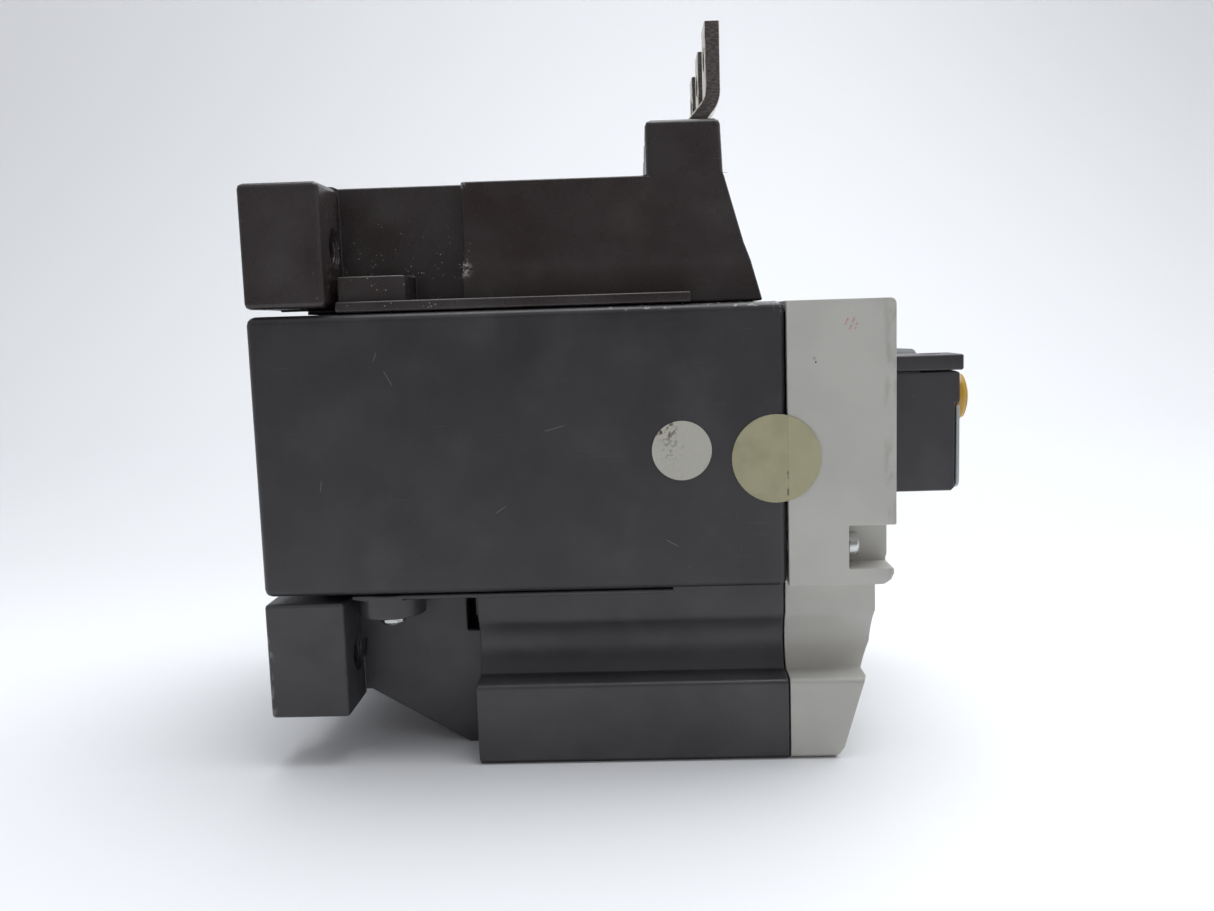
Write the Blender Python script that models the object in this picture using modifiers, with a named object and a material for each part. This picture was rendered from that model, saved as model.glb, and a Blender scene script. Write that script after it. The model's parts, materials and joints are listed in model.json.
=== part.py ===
"""Three-pole motor protection breaker with a rotary handle, built as an assembly.

X is the width, -Y is the operating front and +Z is up. Places are given as (x, f, z), where f is the
depth in front of the mounting plane, so a point lies at y = -f. All lengths are in metres.
"""
import math

import bmesh
import bpy
from mathutils import Matrix, Vector

MM = 0.001

# Overall sizes
WIDTH = 90 * MM
BODY_DEPTH = 112.3 * MM
BODY_HEIGHT = 60 * MM
COVER_DEPTH = 22.5 * MM
UPPER_HEIGHT = 27.1 * MM
TOWER_HEIGHT = 11.4 * MM
LOWER_HEIGHT = 37.9 * MM

# Walls and clearances
WALL = 2.5 * MM
RIB = 2.4 * MM
GAP = 0.3 * MM          # between faces that touch on the real device
RUN = 0.4 * MM          # around a piece that moves in a hole or slot
EDGE = 1.2 * MM         # rounding of the moulded edges
BODY_EDGE = 1.8 * MM
OVER = 1.0 * MM         # how far a cutter or a joined piece reaches into its neighbour
GRID = 7                # decimals of a metre that every corner is rounded to, so flush faces match

# Poles
SIDE_TO_POLE = 18 * MM
BAR_WIDTH = 10 * MM
LINE_BAR = 3.2 * MM
LOAD_BAR = 2.5 * MM
TOWER_WIDTH = 15.4 * MM
TOWER_DEPTH = 16.4 * MM
TOWER_LEAN = 0.5 * MM    # its front leans back by this much at the top
LUG_HEIGHT = 20.3 * MM
LUG_HOLE = 2.75 * MM
LUG_HOLE_DROP = 7 * MM
FRONT_TO_CONTACT = 20.3 * MM

# Terminal block above the body
TOP_STEP = 4.7 * MM      # the rear web stands in from the block's side
LEDGE_OUT = 3.2 * MM
LEDGE_TOP = 12.7 * MM
LEDGE_LOW = 8.6 * MM
BLOCK_REAR = 45 * MM
SLOPE_RUN = 7.6 * MM
BLOCK_FRONT_SETBACK = 3.7 * MM
FLANGE = 1.0 * MM
FLANGE_AHEAD = 1.6 * MM   # the flange, the boss and the web's slant start just in front of the feet
FLANGE_END_SETBACK = 19.1 * MM
BOSS_LENGTH = 14.5 * MM
BOSS_INSET = 4 * MM
BOSS_HEIGHT = 7.6 * MM
RIM_HEIGHT = 2.3 * MM
RIM_INSET = 1.5 * MM

# Terminal block under the body
COVE_FLAT = 7.0 * MM
COVE_DEEP = 9.5 * MM
COVE_TOP = 7.2 * MM
COVE_BOTTOM = 19.9 * MM
WEB_INSET = 14 * MM
WEB_SLANT_DROP = 13 * MM
WEB_FLAT = 4 * MM
BAY_HEIGHT = 18 * MM
LOAD_RUN_DROP = 6.5 * MM

# Mounting feet
FOOT_WIDTH = 16 * MM
FOOT_DEPTH = 17.2 * MM
LOWER_FOOT_HEIGHT = 25.3 * MM
FOOT_HOLE = 3.25 * MM
FOOT_BORE = 4.1 * MM
FOOT_BORE_DEPTH = 0.8 * MM
FOOT_HOLE_INSET = 10.5 * MM
UPPER_HOLE_RISE = 13.9 * MM
LOWER_HOLE_DROP = 13.6 * MM
FOOT_RELIEF = 3 * MM
GAP_DEPTH = 9 * MM

# Screws between the housings
HOUSING_SCREW_INSET = 8 * MM
HOUSING_SCREW_AHEAD = 8.8 * MM   # in front of the feet
HOUSING_BOSS_RADIUS = 7.4 * MM
HOUSING_BOSS_HEIGHT = 5.3 * MM
COLUMN_HALF = 4 * MM
COLUMN_HEIGHT = 11 * MM
POST_HALF = 3.5 * MM
POST_DEPTH = 14 * MM

# Cover
COVER_WALL = 2.2 * MM
CHIN_RADIUS = 2.9 * MM
CHIN_STEP = 3 * MM       # the lower part of the cover's front stands back from the chin
CHIN_LEAN = 0.3 * MM     # the band between the screw pockets stands back by this
POCKET_WIDTH = 8 * MM
POCKET_DEPTH = 9.9 * MM
POCKET_TOP = 12.7 * MM
POCKET_LOW = 3.4 * MM
SCREW_INSET = 4 * MM
SCREW_RADIUS = 1.5 * MM
SCREW_HEAD = 2.75 * MM
SCREW_HEAD_HEIGHT = 2.2 * MM
SCREW_LENGTH = 16 * MM

# Handle and front controls
HANDLE_BOTTOM = 16.6 * MM
HANDLE_FRONT = 24 * MM   # in front of the cover
COLLAR_RADIUS = 17 * MM
COLLAR_HEIGHT = 3 * MM
SLIDE_HEIGHT = 3.8 * MM
SLIDE_PROUD = 0.9 * MM
PLATE_TOP = 4.3 * MM
PLATE_THICK = 1.1 * MM
CAP_RADIUS = 5.9 * MM
CAP_Z = 6.0 * MM
CAP_PROUD = 2.0 * MM
CAP_CROWN = 1.4 * MM
CAP_TRAVEL = 1.5 * MM
CAP_RIM = 1.1 * MM       # the handle's wall beside the button
CAP_BROW = 0.5 * MM      # and above it
CAP_DEPTH = 6 * MM
SLIDE_KEY = 0.6 * MM
SLIDE_KEY_INSET = 1.2 * MM
SLIDE_KEY_LENGTH = 9 * MM
SLIDE_KEY_DEPTH = 1.5 * MM
HASP_RADIUS = 2.6 * MM
HANDLE_LIP = 0.9 * MM
SMALL_EDGE = 0.6 * MM
SHAFT_RADIUS = 4 * MM
BUTTON_RADIUS = 4.2 * MM
BUTTON_X = 19.5 * MM
BUTTON_Z = 13.5 * MM
BUTTON_PROUD = 19.6 * MM
BUTTON_TRAVEL = 3 * MM
BUTTON_STEM = 2 * MM
BUTTON_FLANGE = 1.4 * MM
STEM_LENGTH = 12 * MM
BRACKET_DROP = 8 * MM
DIAL_RADIUS = 5.2 * MM
DIAL_X = -21 * MM
DIAL_Z = 15 * MM
DIAL_SLOT = 1.2 * MM

# Contacts and trip parts
CONTACT_Z = 11 * MM
TIP = 1.4 * MM
TIP_RADIUS = 2.6 * MM
BRIDGE = 2 * MM
CAM_DEPTH = 3.8 * MM
CAM_RADIUS = 12 * MM
FRAME_HALF = 15.5 * MM
SPRING_SPACE = 0.8 * MM
CARRIER_HEIGHT = 9 * MM
CARRIER_DEPTH = 10 * MM
COIL_Z = 10 * MM
COIL_RADIUS = 8.5 * MM
COIL_BORE = 4.2 * MM
PLUNGER_RADIUS = 3.3 * MM
PLUNGER_TRAVEL = 2.5 * MM
PIN_RADIUS = 1.6 * MM
YOKE_WIDTH = 12 * MM
YOKE_PLATE = 2.2 * MM
HEATER_TAPE = 0.8 * MM
BIMETAL_Z = -12 * MM
TRIP_Z = 22 * MM
TRIP_SHAFT = 2 * MM
PIVOT_BORE = 1.2 * MM
PADDLE = 1.6 * MM
LINK_Z = -8 * MM
LINK_HALF = 1.2 * MM
LATCH_PLATE = 2 * MM
CLAMP_HEIGHT = 11 * MM
CLAMP_PLATE = 1.9 * MM
CLAMP_TRAVEL = 3.2 * MM
CLAMP_SHANK = 2.5 * MM
CLAMP_HEAD = 3.8 * MM
CLAMP_SPARE = 2.4 * MM   # between the bar and the cage's front plate
CLAMP_REACH = 12 * MM    # the cage behind the bar's leg

# Round labels on the side: (distance behind the body's front edge, z, radius)
LABEL = 0.15 * MM
WHITE_DOT = (21.8 * MM, -0.4 * MM, 6.25 * MM)
BEIGE_DOT = (2.1 * MM, -2.6 * MM, 9.3 * MM)

# Places worked out from the sizes above
HALF = WIDTH / 2
BODY_TOP = BODY_HEIGHT / 2
FLANGE_START = FOOT_DEPTH + FLANGE_AHEAD
HOUSING_SCREW_F = FOOT_DEPTH + HOUSING_SCREW_AHEAD
HANDLE_WIDTH = 2 * (CAP_RADIUS + CAP_RIM)
HANDLE_TOP = CAP_Z + CAP_RADIUS + CAP_BROW
SLIDE_KEY_X = HANDLE_WIDTH / 2 - SLIDE_KEY_INSET
PITCH = HALF - SIDE_TO_POLE
POLES = (-PITCH, 0.0, PITCH)
UPPER_BASE = BODY_TOP + GAP
UPPER_TOP = UPPER_BASE + UPPER_HEIGHT
TOWER_TOP = UPPER_TOP + TOWER_HEIGHT
LOWER_BASE = -BODY_TOP - GAP
LOWER_FLOOR = LOWER_BASE - LOWER_HEIGHT
COVER_REAR = BODY_DEPTH + GAP
COVER_FRONT = COVER_REAR + COVER_DEPTH
CONTACT_F = BODY_DEPTH - FRONT_TO_CONTACT
BLOCK_HALF = PITCH + TOWER_WIDTH / 2
BAR_ROOM = PITCH + BAR_WIDTH / 2 + OVER
BLOCK_FRONT = BODY_DEPTH - BLOCK_FRONT_SETBACK
TOWER_FRONT = BLOCK_FRONT - SLOPE_RUN
TOWER_REAR = TOWER_FRONT - TOWER_DEPTH
LUG_F = TOWER_FRONT - LINE_BAR / 2 - GAP / 3
HANDLE_F = COVER_FRONT + HANDLE_FRONT
SHAFT_END = COVER_FRONT + COLLAR_HEIGHT + 1.6 * MM
COIL_REAR = WALL + 15.5 * MM
COIL_FRONT = CONTACT_F - 46 * MM
YOKE_REAR = COIL_REAR - 1.9 * MM
YOKE_FRONT = COIL_FRONT + 2.1 * MM
TRIP_F = CONTACT_F - 25.5 * MM
CARRIER_FRONT = CONTACT_F - 6 * MM
BEAM_REAR = CONTACT_F - 36.2 * MM
BEAM_DEPTH = 3 * MM
BEAM_HALF_HEIGHT = 4.5 * MM
BRIDGE_FRONT = CONTACT_F - TIP - GAP
CAM_REAR = CONTACT_F + 8.2 * MM
FRAME_F = CAM_REAR + CAM_DEPTH + 2.5 * MM
LATCH_F = CAM_REAR + 3.1 * MM
LOAD_LEG_F = COIL_FRONT - 1 * MM
HOUSING_SCREW_X = HALF - HOUSING_SCREW_INSET
LINK_X = (PITCH / 2 + RIB / 2 + PITCH - BAR_WIDTH / 2) / 2
LEG_F = CONTACT_F + 6 * MM
CAGE_FRONT = LEG_F + LOAD_BAR + CLAMP_SPARE + CLAMP_PLATE
CLAMP_TOP = LOWER_FLOOR + WALL + 1.7 * MM + CLAMP_HEIGHT
CLAMP_Z = CLAMP_TOP - CLAMP_HEIGHT / 2
POCKET_CEILING = -BODY_TOP + POCKET_TOP
POCKET_FLOOR = -BODY_TOP + POCKET_LOW
SCREW_Z = (POCKET_CEILING + POCKET_FLOOR) / 2
SCREW_X = HALF - SCREW_INSET
SEAT_F = COVER_FRONT - POCKET_DEPTH
BUTTON_INSIDE = COVER_FRONT - COVER_WALL - GAP - BUTTON_TRAVEL


# ---------------------------------------------------------------- scene

for old in list(bpy.data.objects):
    bpy.data.objects.remove(old, do_unlink=True)

PARTS = bpy.data.collections.new("motor_protection_breaker")
TOOLS = bpy.data.collections.new("cutters")
for collection in (PARTS, TOOLS):
    bpy.context.scene.collection.children.link(collection)


def at(x, f, z):
    return Vector((x, -f, z))


def new_object(mesh, collection=TOOLS):
    thing = bpy.data.objects.new("shape", mesh)
    collection.objects.link(thing)
    return thing


def material(name, color, roughness, metallic=0.0):
    made = bpy.data.materials.new(name)
    made.use_nodes = True
    shader = made.node_tree.nodes["Principled BSDF"]
    shader.inputs["Base Color"].default_value = (*color, 1.0)
    shader.inputs["Roughness"].default_value = roughness
    shader.inputs["Metallic"].default_value = metallic
    return made


# ---------------------------------------------------------------- shapes

def finished(made):
    """A new object with the faces that were made, each corner on the grid."""
    for vertex in made.verts:
        vertex.co = [round(value, GRID) for value in vertex.co]
    mesh = bpy.data.meshes.new("shape")
    made.to_mesh(mesh)
    made.free()
    return new_object(mesh)


def boxes(*ranges):
    """Boxes that don't meet, each given as (x0, x1, f0, f1, z0, z1), in one object."""
    made = bmesh.new()
    for x0, x1, f0, f1, z0, z1 in ranges:
        corners = bmesh.ops.create_cube(made, size=1.0)["verts"]
        bmesh.ops.scale(made, vec=(x1 - x0, f1 - f0, z1 - z0), verts=corners)
        bmesh.ops.translate(made, vec=at((x0 + x1) / 2, (f0 + f1) / 2, (z0 + z1) / 2), verts=corners)
    return finished(made)


TURN = {
    "x": Matrix.Rotation(math.pi / 2, 4, "Y"),
    "f": Matrix.Rotation(math.pi / 2, 4, "X"),
    "z": Matrix.Identity(4),
}


def rods(axis, *rounds, steps=24):
    """Cylinders along axis x, f or z that don't meet, each given as (centre, radius, length)."""
    made = bmesh.new()
    for centre, radius, length in rounds:
        place = Matrix.Translation(centre) @ TURN[axis]
        bmesh.ops.create_cone(made, cap_ends=True, segments=steps, radius1=radius, radius2=radius,
                              depth=length, matrix=place)
    return finished(made)


PLANE = {
    "side": Matrix(((0, 0, -1, 0), (-1, 0, 0, 0), (0, 1, 0, 0), (0, 0, 0, 1))),
    "front": Matrix(((1, 0, 0, 0), (0, 0, -1, 0), (0, 1, 0, 0), (0, 0, 0, 1))),
    "plan": Matrix(((1, 0, 0, 0), (0, -1, 0, 0), (0, 0, -1, 0), (0, 0, 0, 1))),
}


def to_mesh(source):
    """The mesh of a curve, or of an object with its modifiers, welded and in world places."""
    bpy.context.view_layer.update()
    graph = bpy.context.evaluated_depsgraph_get()
    mesh = bpy.data.meshes.new_from_object(source.evaluated_get(graph), depsgraph=graph)
    mesh.transform(source.matrix_world)
    made = bmesh.new()
    made.from_mesh(mesh)
    bmesh.ops.remove_doubles(made, verts=made.verts, dist=0.00001)
    bmesh.ops.recalc_face_normals(made, faces=made.faces)
    bpy.data.objects.remove(source, do_unlink=True)
    return finished(made)


def outline(plane, points, start, end):
    """A flat outline, extruded from start to end: side is (f, z) along x, front is (x, z) along f."""
    curve = bpy.data.curves.new("outline", "CURVE")
    curve.dimensions = "2D"
    curve.fill_mode = "BOTH"
    curve.resolution_u = 1
    curve.extrude = (end - start) / 2
    spline = curve.splines.new("POLY")
    spline.points.add(len(points) - 1)
    for point, (u, v) in zip(spline.points, points):
        point.co = (u, v, 0.0, 1.0)
    spline.use_cyclic_u = True
    thing = new_object(curve)
    middle = (start + end) / 2
    shift = {"side": (middle, 0, 0), "front": (0, -middle, 0), "plan": (0, 0, middle)}[plane]
    thing.matrix_world = Matrix.Translation(shift) @ PLANE[plane]
    return to_mesh(thing)


def arc(u, v, radius, first, last, count):
    """Points on an arc about (u, v), from angle first to angle last in degrees."""
    angles = [math.radians(first + (last - first) * i / count) for i in range(count + 1)]
    return [(u + radius * math.cos(a), v + radius * math.sin(a)) for a in angles]


def bent_bar(points, thickness, x, width):
    """A flat bar bent along the (f, z) points of its middle line."""
    left, right = [], []
    for i, (f, z) in enumerate(points):
        before = Vector(points[max(i - 1, 0)])
        after = Vector(points[min(i + 1, len(points) - 1)])
        here = Vector((f, z))
        arms = [arm.normalized() for arm in (here - before, after - here) if arm.length > 0]
        along = sum(arms, Vector((0.0, 0.0))).normalized()
        side = Vector((-along.y, along.x))
        reach = thickness / 2 / side.dot(Vector((-arms[0].y, arms[0].x)))
        left.append(here + side * reach)
        right.append(here - side * reach)
    return outline("side", left + right[::-1], x - width / 2, x + width / 2)


def turned(profile, centre, steps=24):
    """A solid turned about the f axis from (radius, f) points that run down its outer side."""
    mesh = bpy.data.meshes.new("profile")
    count = len(profile)
    mesh.from_pydata([(r, 0.0, f) for r, f in profile], [(i, i + 1) for i in range(count - 1)], [])
    thing = new_object(mesh)
    screw = thing.modifiers.new("turn", "SCREW")
    screw.steps = steps
    screw.render_steps = steps
    screw.use_merge_vertices = True
    screw.merge_threshold = 0.00001
    thing.matrix_world = Matrix.Translation(at(centre[0], 0.0, centre[1])) @ TURN["f"]
    return to_mesh(thing)


def helix(centre, start, end, radius, wire, turns, around=8):
    """Round wire wound about the f axis."""
    curve = bpy.data.curves.new("wire", "CURVE")
    curve.dimensions = "3D"
    curve.bevel_depth = wire / 2
    curve.bevel_resolution = 1
    curve.use_fill_caps = True
    curve.resolution_u = 1
    spline = curve.splines.new("POLY")
    count = turns * around
    spline.points.add(count)
    for i, point in enumerate(spline.points):
        angle = 2 * math.pi * i / around
        f = start + (end - start) * i / count
        place = at(centre[0] + radius * math.cos(angle), f, centre[1] + radius * math.sin(angle))
        point.co = (*place, 1.0)
    return to_mesh(new_object(curve))


# ---------------------------------------------------------------- pieces

def hide(tool, name):
    tool.name = name
    tool.display_type = "WIRE"
    tool.hide_render = True


def combine(target, tool, operation):
    change = target.modifiers.new(operation.lower(), "BOOLEAN")
    change.operation = operation
    change.solver = "EXACT"
    change.object = tool
    hide(tool, "tool_" + target.name)


def add(target, tool):
    combine(target, tool, "UNION")


def cut(target, tool):
    combine(target, tool, "DIFFERENCE")


def soften(target, width=EDGE, segments=2, angle=35):
    bevel = target.modifiers.new("edges", "BEVEL")
    bevel.width = width
    bevel.segments = segments
    bevel.limit_method = "ANGLE"
    bevel.angle_limit = math.radians(angle)
    return target


def piece(name, shape, look, origin=(0.0, 0.0, 0.0)):
    """Make a shape one of the object's parts, with its origin at (x, f, z)."""
    TOOLS.objects.unlink(shape)
    PARTS.objects.link(shape)
    shape.name = name
    shape.data.name = name
    place = at(*origin)
    shape.data.transform(Matrix.Translation(-place))
    shape.location = place
    shape.data.materials.clear()
    shape.data.materials.append(look)
    return shape


BLACK = material("black_moulding", (0.030, 0.028, 0.030), 0.38)
DARK = material("dark_moulding", (0.022, 0.018, 0.018), 0.32)
GREY = material("grey_moulding", (0.42, 0.42, 0.39), 0.45)
HANDLE_BLACK = material("handle_black", (0.035, 0.032, 0.034), 0.42)
PLATE_GREY = material("plate_grey", (0.36, 0.38, 0.38), 0.4)
YELLOW = material("yellow_cap", (0.55, 0.31, 0.03), 0.3)
BLUE_GREY = material("button_grey", (0.16, 0.18, 0.19), 0.45)
ZINC = material("zinc_screw", (0.62, 0.63, 0.60), 0.3, 1.0)
TINNED = material("tinned_bar", (0.55, 0.52, 0.42), 0.35, 1.0)
COPPER = material("copper", (0.72, 0.36, 0.20), 0.3, 1.0)
STEEL = material("steel", (0.45, 0.46, 0.47), 0.35, 1.0)
NATURAL = material("natural_moulding", (0.55, 0.50, 0.40), 0.5)
WHITE_LABEL = material("white_label", (0.70, 0.69, 0.62), 0.6)
BEIGE_LABEL = material("beige_label", (0.45, 0.42, 0.27), 0.5)


def mirrored(*ranges):
    """Each box, and its copy on the other side of x = 0."""
    return [*ranges, *[(-x1, -x0, f0, f1, z0, z1) for x0, x1, f0, f1, z0, z1 in ranges]]


def bays(outer, f0, f1, z0, z1):
    """One box in each pole's bay: ribs stand midway between poles, and outer is the outermost wall."""
    inner = PITCH / 2 - RIB / 2
    side = (PITCH / 2 + RIB / 2, outer, f0, f1, z0, z1)
    return [(-inner, inner, f0, f1, z0, z1), *mirrored(side)]


def at_poles(half_width, f0, f1, z0, z1):
    return [(x - half_width, x + half_width, f0, f1, z0, z1) for x in POLES]


def foot_holes(z, face):
    sides = [side * (HALF - FOOT_HOLE_INSET) for side in (-1, 1)]
    holes = [(at(x, face / 2, z), FOOT_HOLE, face + 2 * OVER) for x in sides]
    middle = face - (FOOT_BORE_DEPTH - OVER) / 2
    bores = [(at(x, middle, z), FOOT_BORE, FOOT_BORE_DEPTH + OVER) for x in sides]
    return rods("f", *holes), rods("f", *bores)


def cove_profile():
    """The lower block's outline across the width, in (x, z), with a cove along each side."""
    top = LOWER_BASE
    flat = HALF - COVE_FLAT
    deep = HALF - COVE_DEEP
    start, end = top - COVE_TOP, top - COVE_BOTTOM
    middle = (start + end) / 2
    half_height = (start - end) / 2
    sag = flat - deep
    radius = (half_height ** 2 + sag ** 2) / (2 * sag)
    swing = math.degrees(math.asin(half_height / radius))
    curve = arc(deep + radius, middle, radius, 180 - swing, 180 + swing, 6)
    right = [(flat, top), *curve, (HALF - EDGE, end), (HALF, end - EDGE),
             (HALF, LOWER_FLOOR + EDGE), (HALF - EDGE, LOWER_FLOOR)]
    return right + [(-x, z) for x, z in reversed(right)]


# ---------------------------------------------------------------- housings

def make_mid_housing():
    body = piece("mid_housing", boxes((-HALF, HALF, 0, BODY_DEPTH, -BODY_TOP, BODY_TOP)), BLACK)
    soften(body, BODY_EDGE, 3)
    room = HALF - WALL
    ceiling = BODY_TOP - WALL
    cut(body, boxes((-room, room, WALL, BODY_DEPTH + 5 * OVER, -ceiling, ceiling)))
    reach = room + OVER
    add(body, boxes((-reach, reach, BEAM_REAR, BEAM_REAR + BEAM_DEPTH, -BEAM_HALF_HEIGHT, BEAM_HALF_HEIGHT)))
    half = COLUMN_HALF
    column = (BAR_ROOM, reach, HOUSING_SCREW_F - half, HOUSING_SCREW_F + half)
    add(body, boxes(*mirrored((*column, -ceiling - OVER, COLUMN_HEIGHT - ceiling))))
    post = (SCREW_X - POST_HALF, reach, BODY_DEPTH - POST_DEPTH, BODY_DEPTH)
    add(body, boxes(*mirrored((*post, SCREW_Z - POST_HALF, SCREW_Z + POST_HALF))))
    slot = BAR_WIDTH / 2 + RUN
    above = at_poles(slot, CONTACT_F - RUN, CONTACT_F + LINE_BAR + RUN, ceiling - OVER, BODY_TOP + OVER)
    leg = LOAD_BAR / 2 + RUN
    below = at_poles(slot, LOAD_LEG_F - leg, LOAD_LEG_F + leg, -BODY_TOP - OVER, -ceiling + OVER)
    cut(body, boxes(*above, *below))
    pilot = SCREW_RADIUS + RUN / 2
    middle = BODY_DEPTH - (POST_DEPTH - OVER) / 2
    cover_bores = [(at(side * SCREW_X, middle, SCREW_Z), pilot, POST_DEPTH + OVER) for side in (-1, 1)]
    cut(body, rods("f", *cover_bores, steps=12))
    pivots = [(at(side * room, TRIP_F, TRIP_Z), TRIP_SHAFT + RUN, 2 * PIVOT_BORE) for side in (-1, 1)]
    cut(body, rods("x", *pivots, steps=12))
    depth = WALL + COLUMN_HEIGHT - RUN
    middle = (depth - OVER) / 2 - BODY_TOP
    joints = [(at(side * HOUSING_SCREW_X, HOUSING_SCREW_F, middle), pilot, depth + OVER) for side in (-1, 1)]
    cut(body, rods("z", *joints, steps=12))
    return body


def make_upper_housing():
    ledge_top = UPPER_BASE + LEDGE_TOP
    ledge_low = UPPER_BASE + LEDGE_LOW
    skirt = BLOCK_HALF + LEDGE_OUT
    right = [(skirt, UPPER_BASE), (skirt, ledge_low), (BLOCK_HALF, ledge_top), (BLOCK_HALF, UPPER_TOP)]
    profile = right + [(-x, z) for x, z in reversed(right)]
    block = outline("front", profile, BLOCK_REAR, BODY_DEPTH)
    body = piece("upper_housing", block, DARK)
    ahead = BODY_DEPTH + 5 * OVER
    cut(body, outline("side", [(BLOCK_FRONT, UPPER_BASE - OVER), (BLOCK_FRONT, UPPER_BASE),
                               (TOWER_FRONT, UPPER_TOP), (TOWER_FRONT, UPPER_TOP + OVER),
                               (ahead, UPPER_TOP + OVER), (ahead, UPPER_BASE - OVER)], -HALF, HALF))
    towers = boxes(*at_poles(TOWER_WIDTH / 2, TOWER_REAR, TOWER_FRONT, UPPER_TOP - 8 * MM, TOWER_TOP))
    cut(towers, outline("side", [(TOWER_FRONT, UPPER_TOP), (TOWER_FRONT - TOWER_LEAN, TOWER_TOP),
                                 (TOWER_FRONT - TOWER_LEAN, TOWER_TOP + OVER), (ahead, TOWER_TOP + OVER),
                                 (ahead, UPPER_TOP)], -HALF, HALF))
    add(body, soften(towers))
    web = BLOCK_HALF - TOP_STEP
    add(body, boxes((-web, web, FOOT_RELIEF, BLOCK_REAR + OVER, UPPER_BASE + EDGE, UPPER_TOP)))
    add(body, boxes((-web, web, GAP_DEPTH, BLOCK_REAR + OVER, UPPER_BASE, UPPER_BASE + EDGE + OVER)))
    foot = (HALF - FOOT_WIDTH, HALF, 0, FOOT_DEPTH, UPPER_BASE + EDGE, UPPER_TOP)
    add(body, soften(boxes(*mirrored(foot))))
    rim = HALF - RIM_INSET
    flange_end = BODY_DEPTH - FLANGE_END_SETBACK
    add(body, boxes((-rim, rim, FLANGE_START, flange_end, UPPER_BASE, UPPER_BASE + FLANGE)))
    add(body, boxes(*mirrored((rim - RIM_INSET, rim, FLANGE_START, flange_end,
                               UPPER_BASE, UPPER_BASE + RIM_HEIGHT))))
    boss = (web - OVER, HALF - BOSS_INSET, FLANGE_START, FLANGE_START + BOSS_LENGTH)
    add(body, boxes(*mirrored((*boss, UPPER_BASE, UPPER_BASE + BOSS_HEIGHT))))
    for tool in foot_holes(UPPER_BASE + UPPER_HOLE_RISE, FOOT_DEPTH):
        cut(body, tool)
    slot = BAR_WIDTH / 2 + RUN
    below = UPPER_BASE - OVER
    cut(body, boxes(*at_poles(slot, CONTACT_F - 2 * RUN, LUG_F, below, TOWER_TOP + OVER)))
    cut(body, boxes(*bays(BLOCK_HALF - WALL, BLOCK_REAR + WALL, TOWER_REAR + EDGE, below, UPPER_TOP - WALL)))
    cut(body, boxes(*bays(web - WALL, GAP_DEPTH + WALL, BLOCK_REAR, below, UPPER_TOP - WALL)))
    return body


def make_lower_housing():
    block = outline("front", cove_profile(), BLOCK_REAR, BODY_DEPTH)
    body = piece("lower_housing", block, BLACK)
    web = HALF - WEB_INSET
    lift = LOWER_BASE - EDGE
    slant_end = BLOCK_REAR - WEB_FLAT
    slant_top = LOWER_FLOOR + WEB_SLANT_DROP
    add(body, outline("side", [(FOOT_RELIEF, lift), (GAP_DEPTH, lift), (GAP_DEPTH, LOWER_BASE),
                               (BLOCK_REAR + OVER, LOWER_BASE), (BLOCK_REAR + OVER, LOWER_FLOOR + EDGE),
                               (BLOCK_REAR, LOWER_FLOOR), (slant_end, LOWER_FLOOR),
                               (FLANGE_START, slant_top), (FOOT_RELIEF, slant_top)], -web, web))
    foot = (HALF - FOOT_WIDTH, HALF, 0, FOOT_DEPTH, lift - LOWER_FOOT_HEIGHT, lift)
    add(body, soften(boxes(*mirrored(foot)), 0.8 * MM))
    rim = HALF - RIM_INSET
    flange_end = BODY_DEPTH - FLANGE_END_SETBACK - 5 * MM
    add(body, boxes((-rim, rim, FLANGE_START, flange_end, LOWER_BASE - FLANGE, LOWER_BASE)))
    middle = LOWER_BASE - HOUSING_BOSS_HEIGHT / 2
    centres = [at(side * HOUSING_SCREW_X, HOUSING_SCREW_F, middle) for side in (-1, 1)]
    add(body, rods("z", *[(centre, HOUSING_BOSS_RADIUS, HOUSING_BOSS_HEIGHT) for centre in centres]))
    for tool in foot_holes(LOWER_BASE - LOWER_HOLE_DROP - EDGE, FOOT_DEPTH):
        cut(body, tool)
    narrow = BAR_ROOM
    wide = HALF - WALL
    floor = LOWER_FLOOR + WALL
    low_ceiling = LOWER_BASE - COVE_BOTTOM - WALL
    above, ahead = LOWER_BASE + OVER, BODY_DEPTH + OVER
    chamber = BLOCK_REAR + 7 * MM
    cut(body, boxes(*bays(narrow, chamber, ahead, floor, above)))
    cut(body, boxes(*mirrored((narrow - OVER, wide, chamber, ahead, floor, low_ceiling))))
    rear_bay = (web - WALL, GAP_DEPTH + WALL, BLOCK_REAR - WALL)
    cut(body, boxes(*bays(*rear_bay, LOWER_BASE - BAY_HEIGHT, above)))
    passage = (BAR_WIDTH / 2 + RUN, BLOCK_REAR - WALL - OVER, chamber + OVER)
    cut(body, boxes(*at_poles(*passage, LOWER_BASE - LOAD_RUN_DROP - 2 * LOAD_BAR, above)))
    entry = (BAR_WIDTH / 2, LEG_F - CLAMP_REACH + 3 * MM, LEG_F - 1 * MM)
    cut(body, boxes(*at_poles(*entry, LOWER_FLOOR - OVER, floor + OVER)))
    bore = (SCREW_RADIUS + RUN, HOUSING_BOSS_HEIGHT + 2 * OVER)
    cut(body, rods("z", *[(centre, *bore) for centre in centres], steps=12))
    return body


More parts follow.
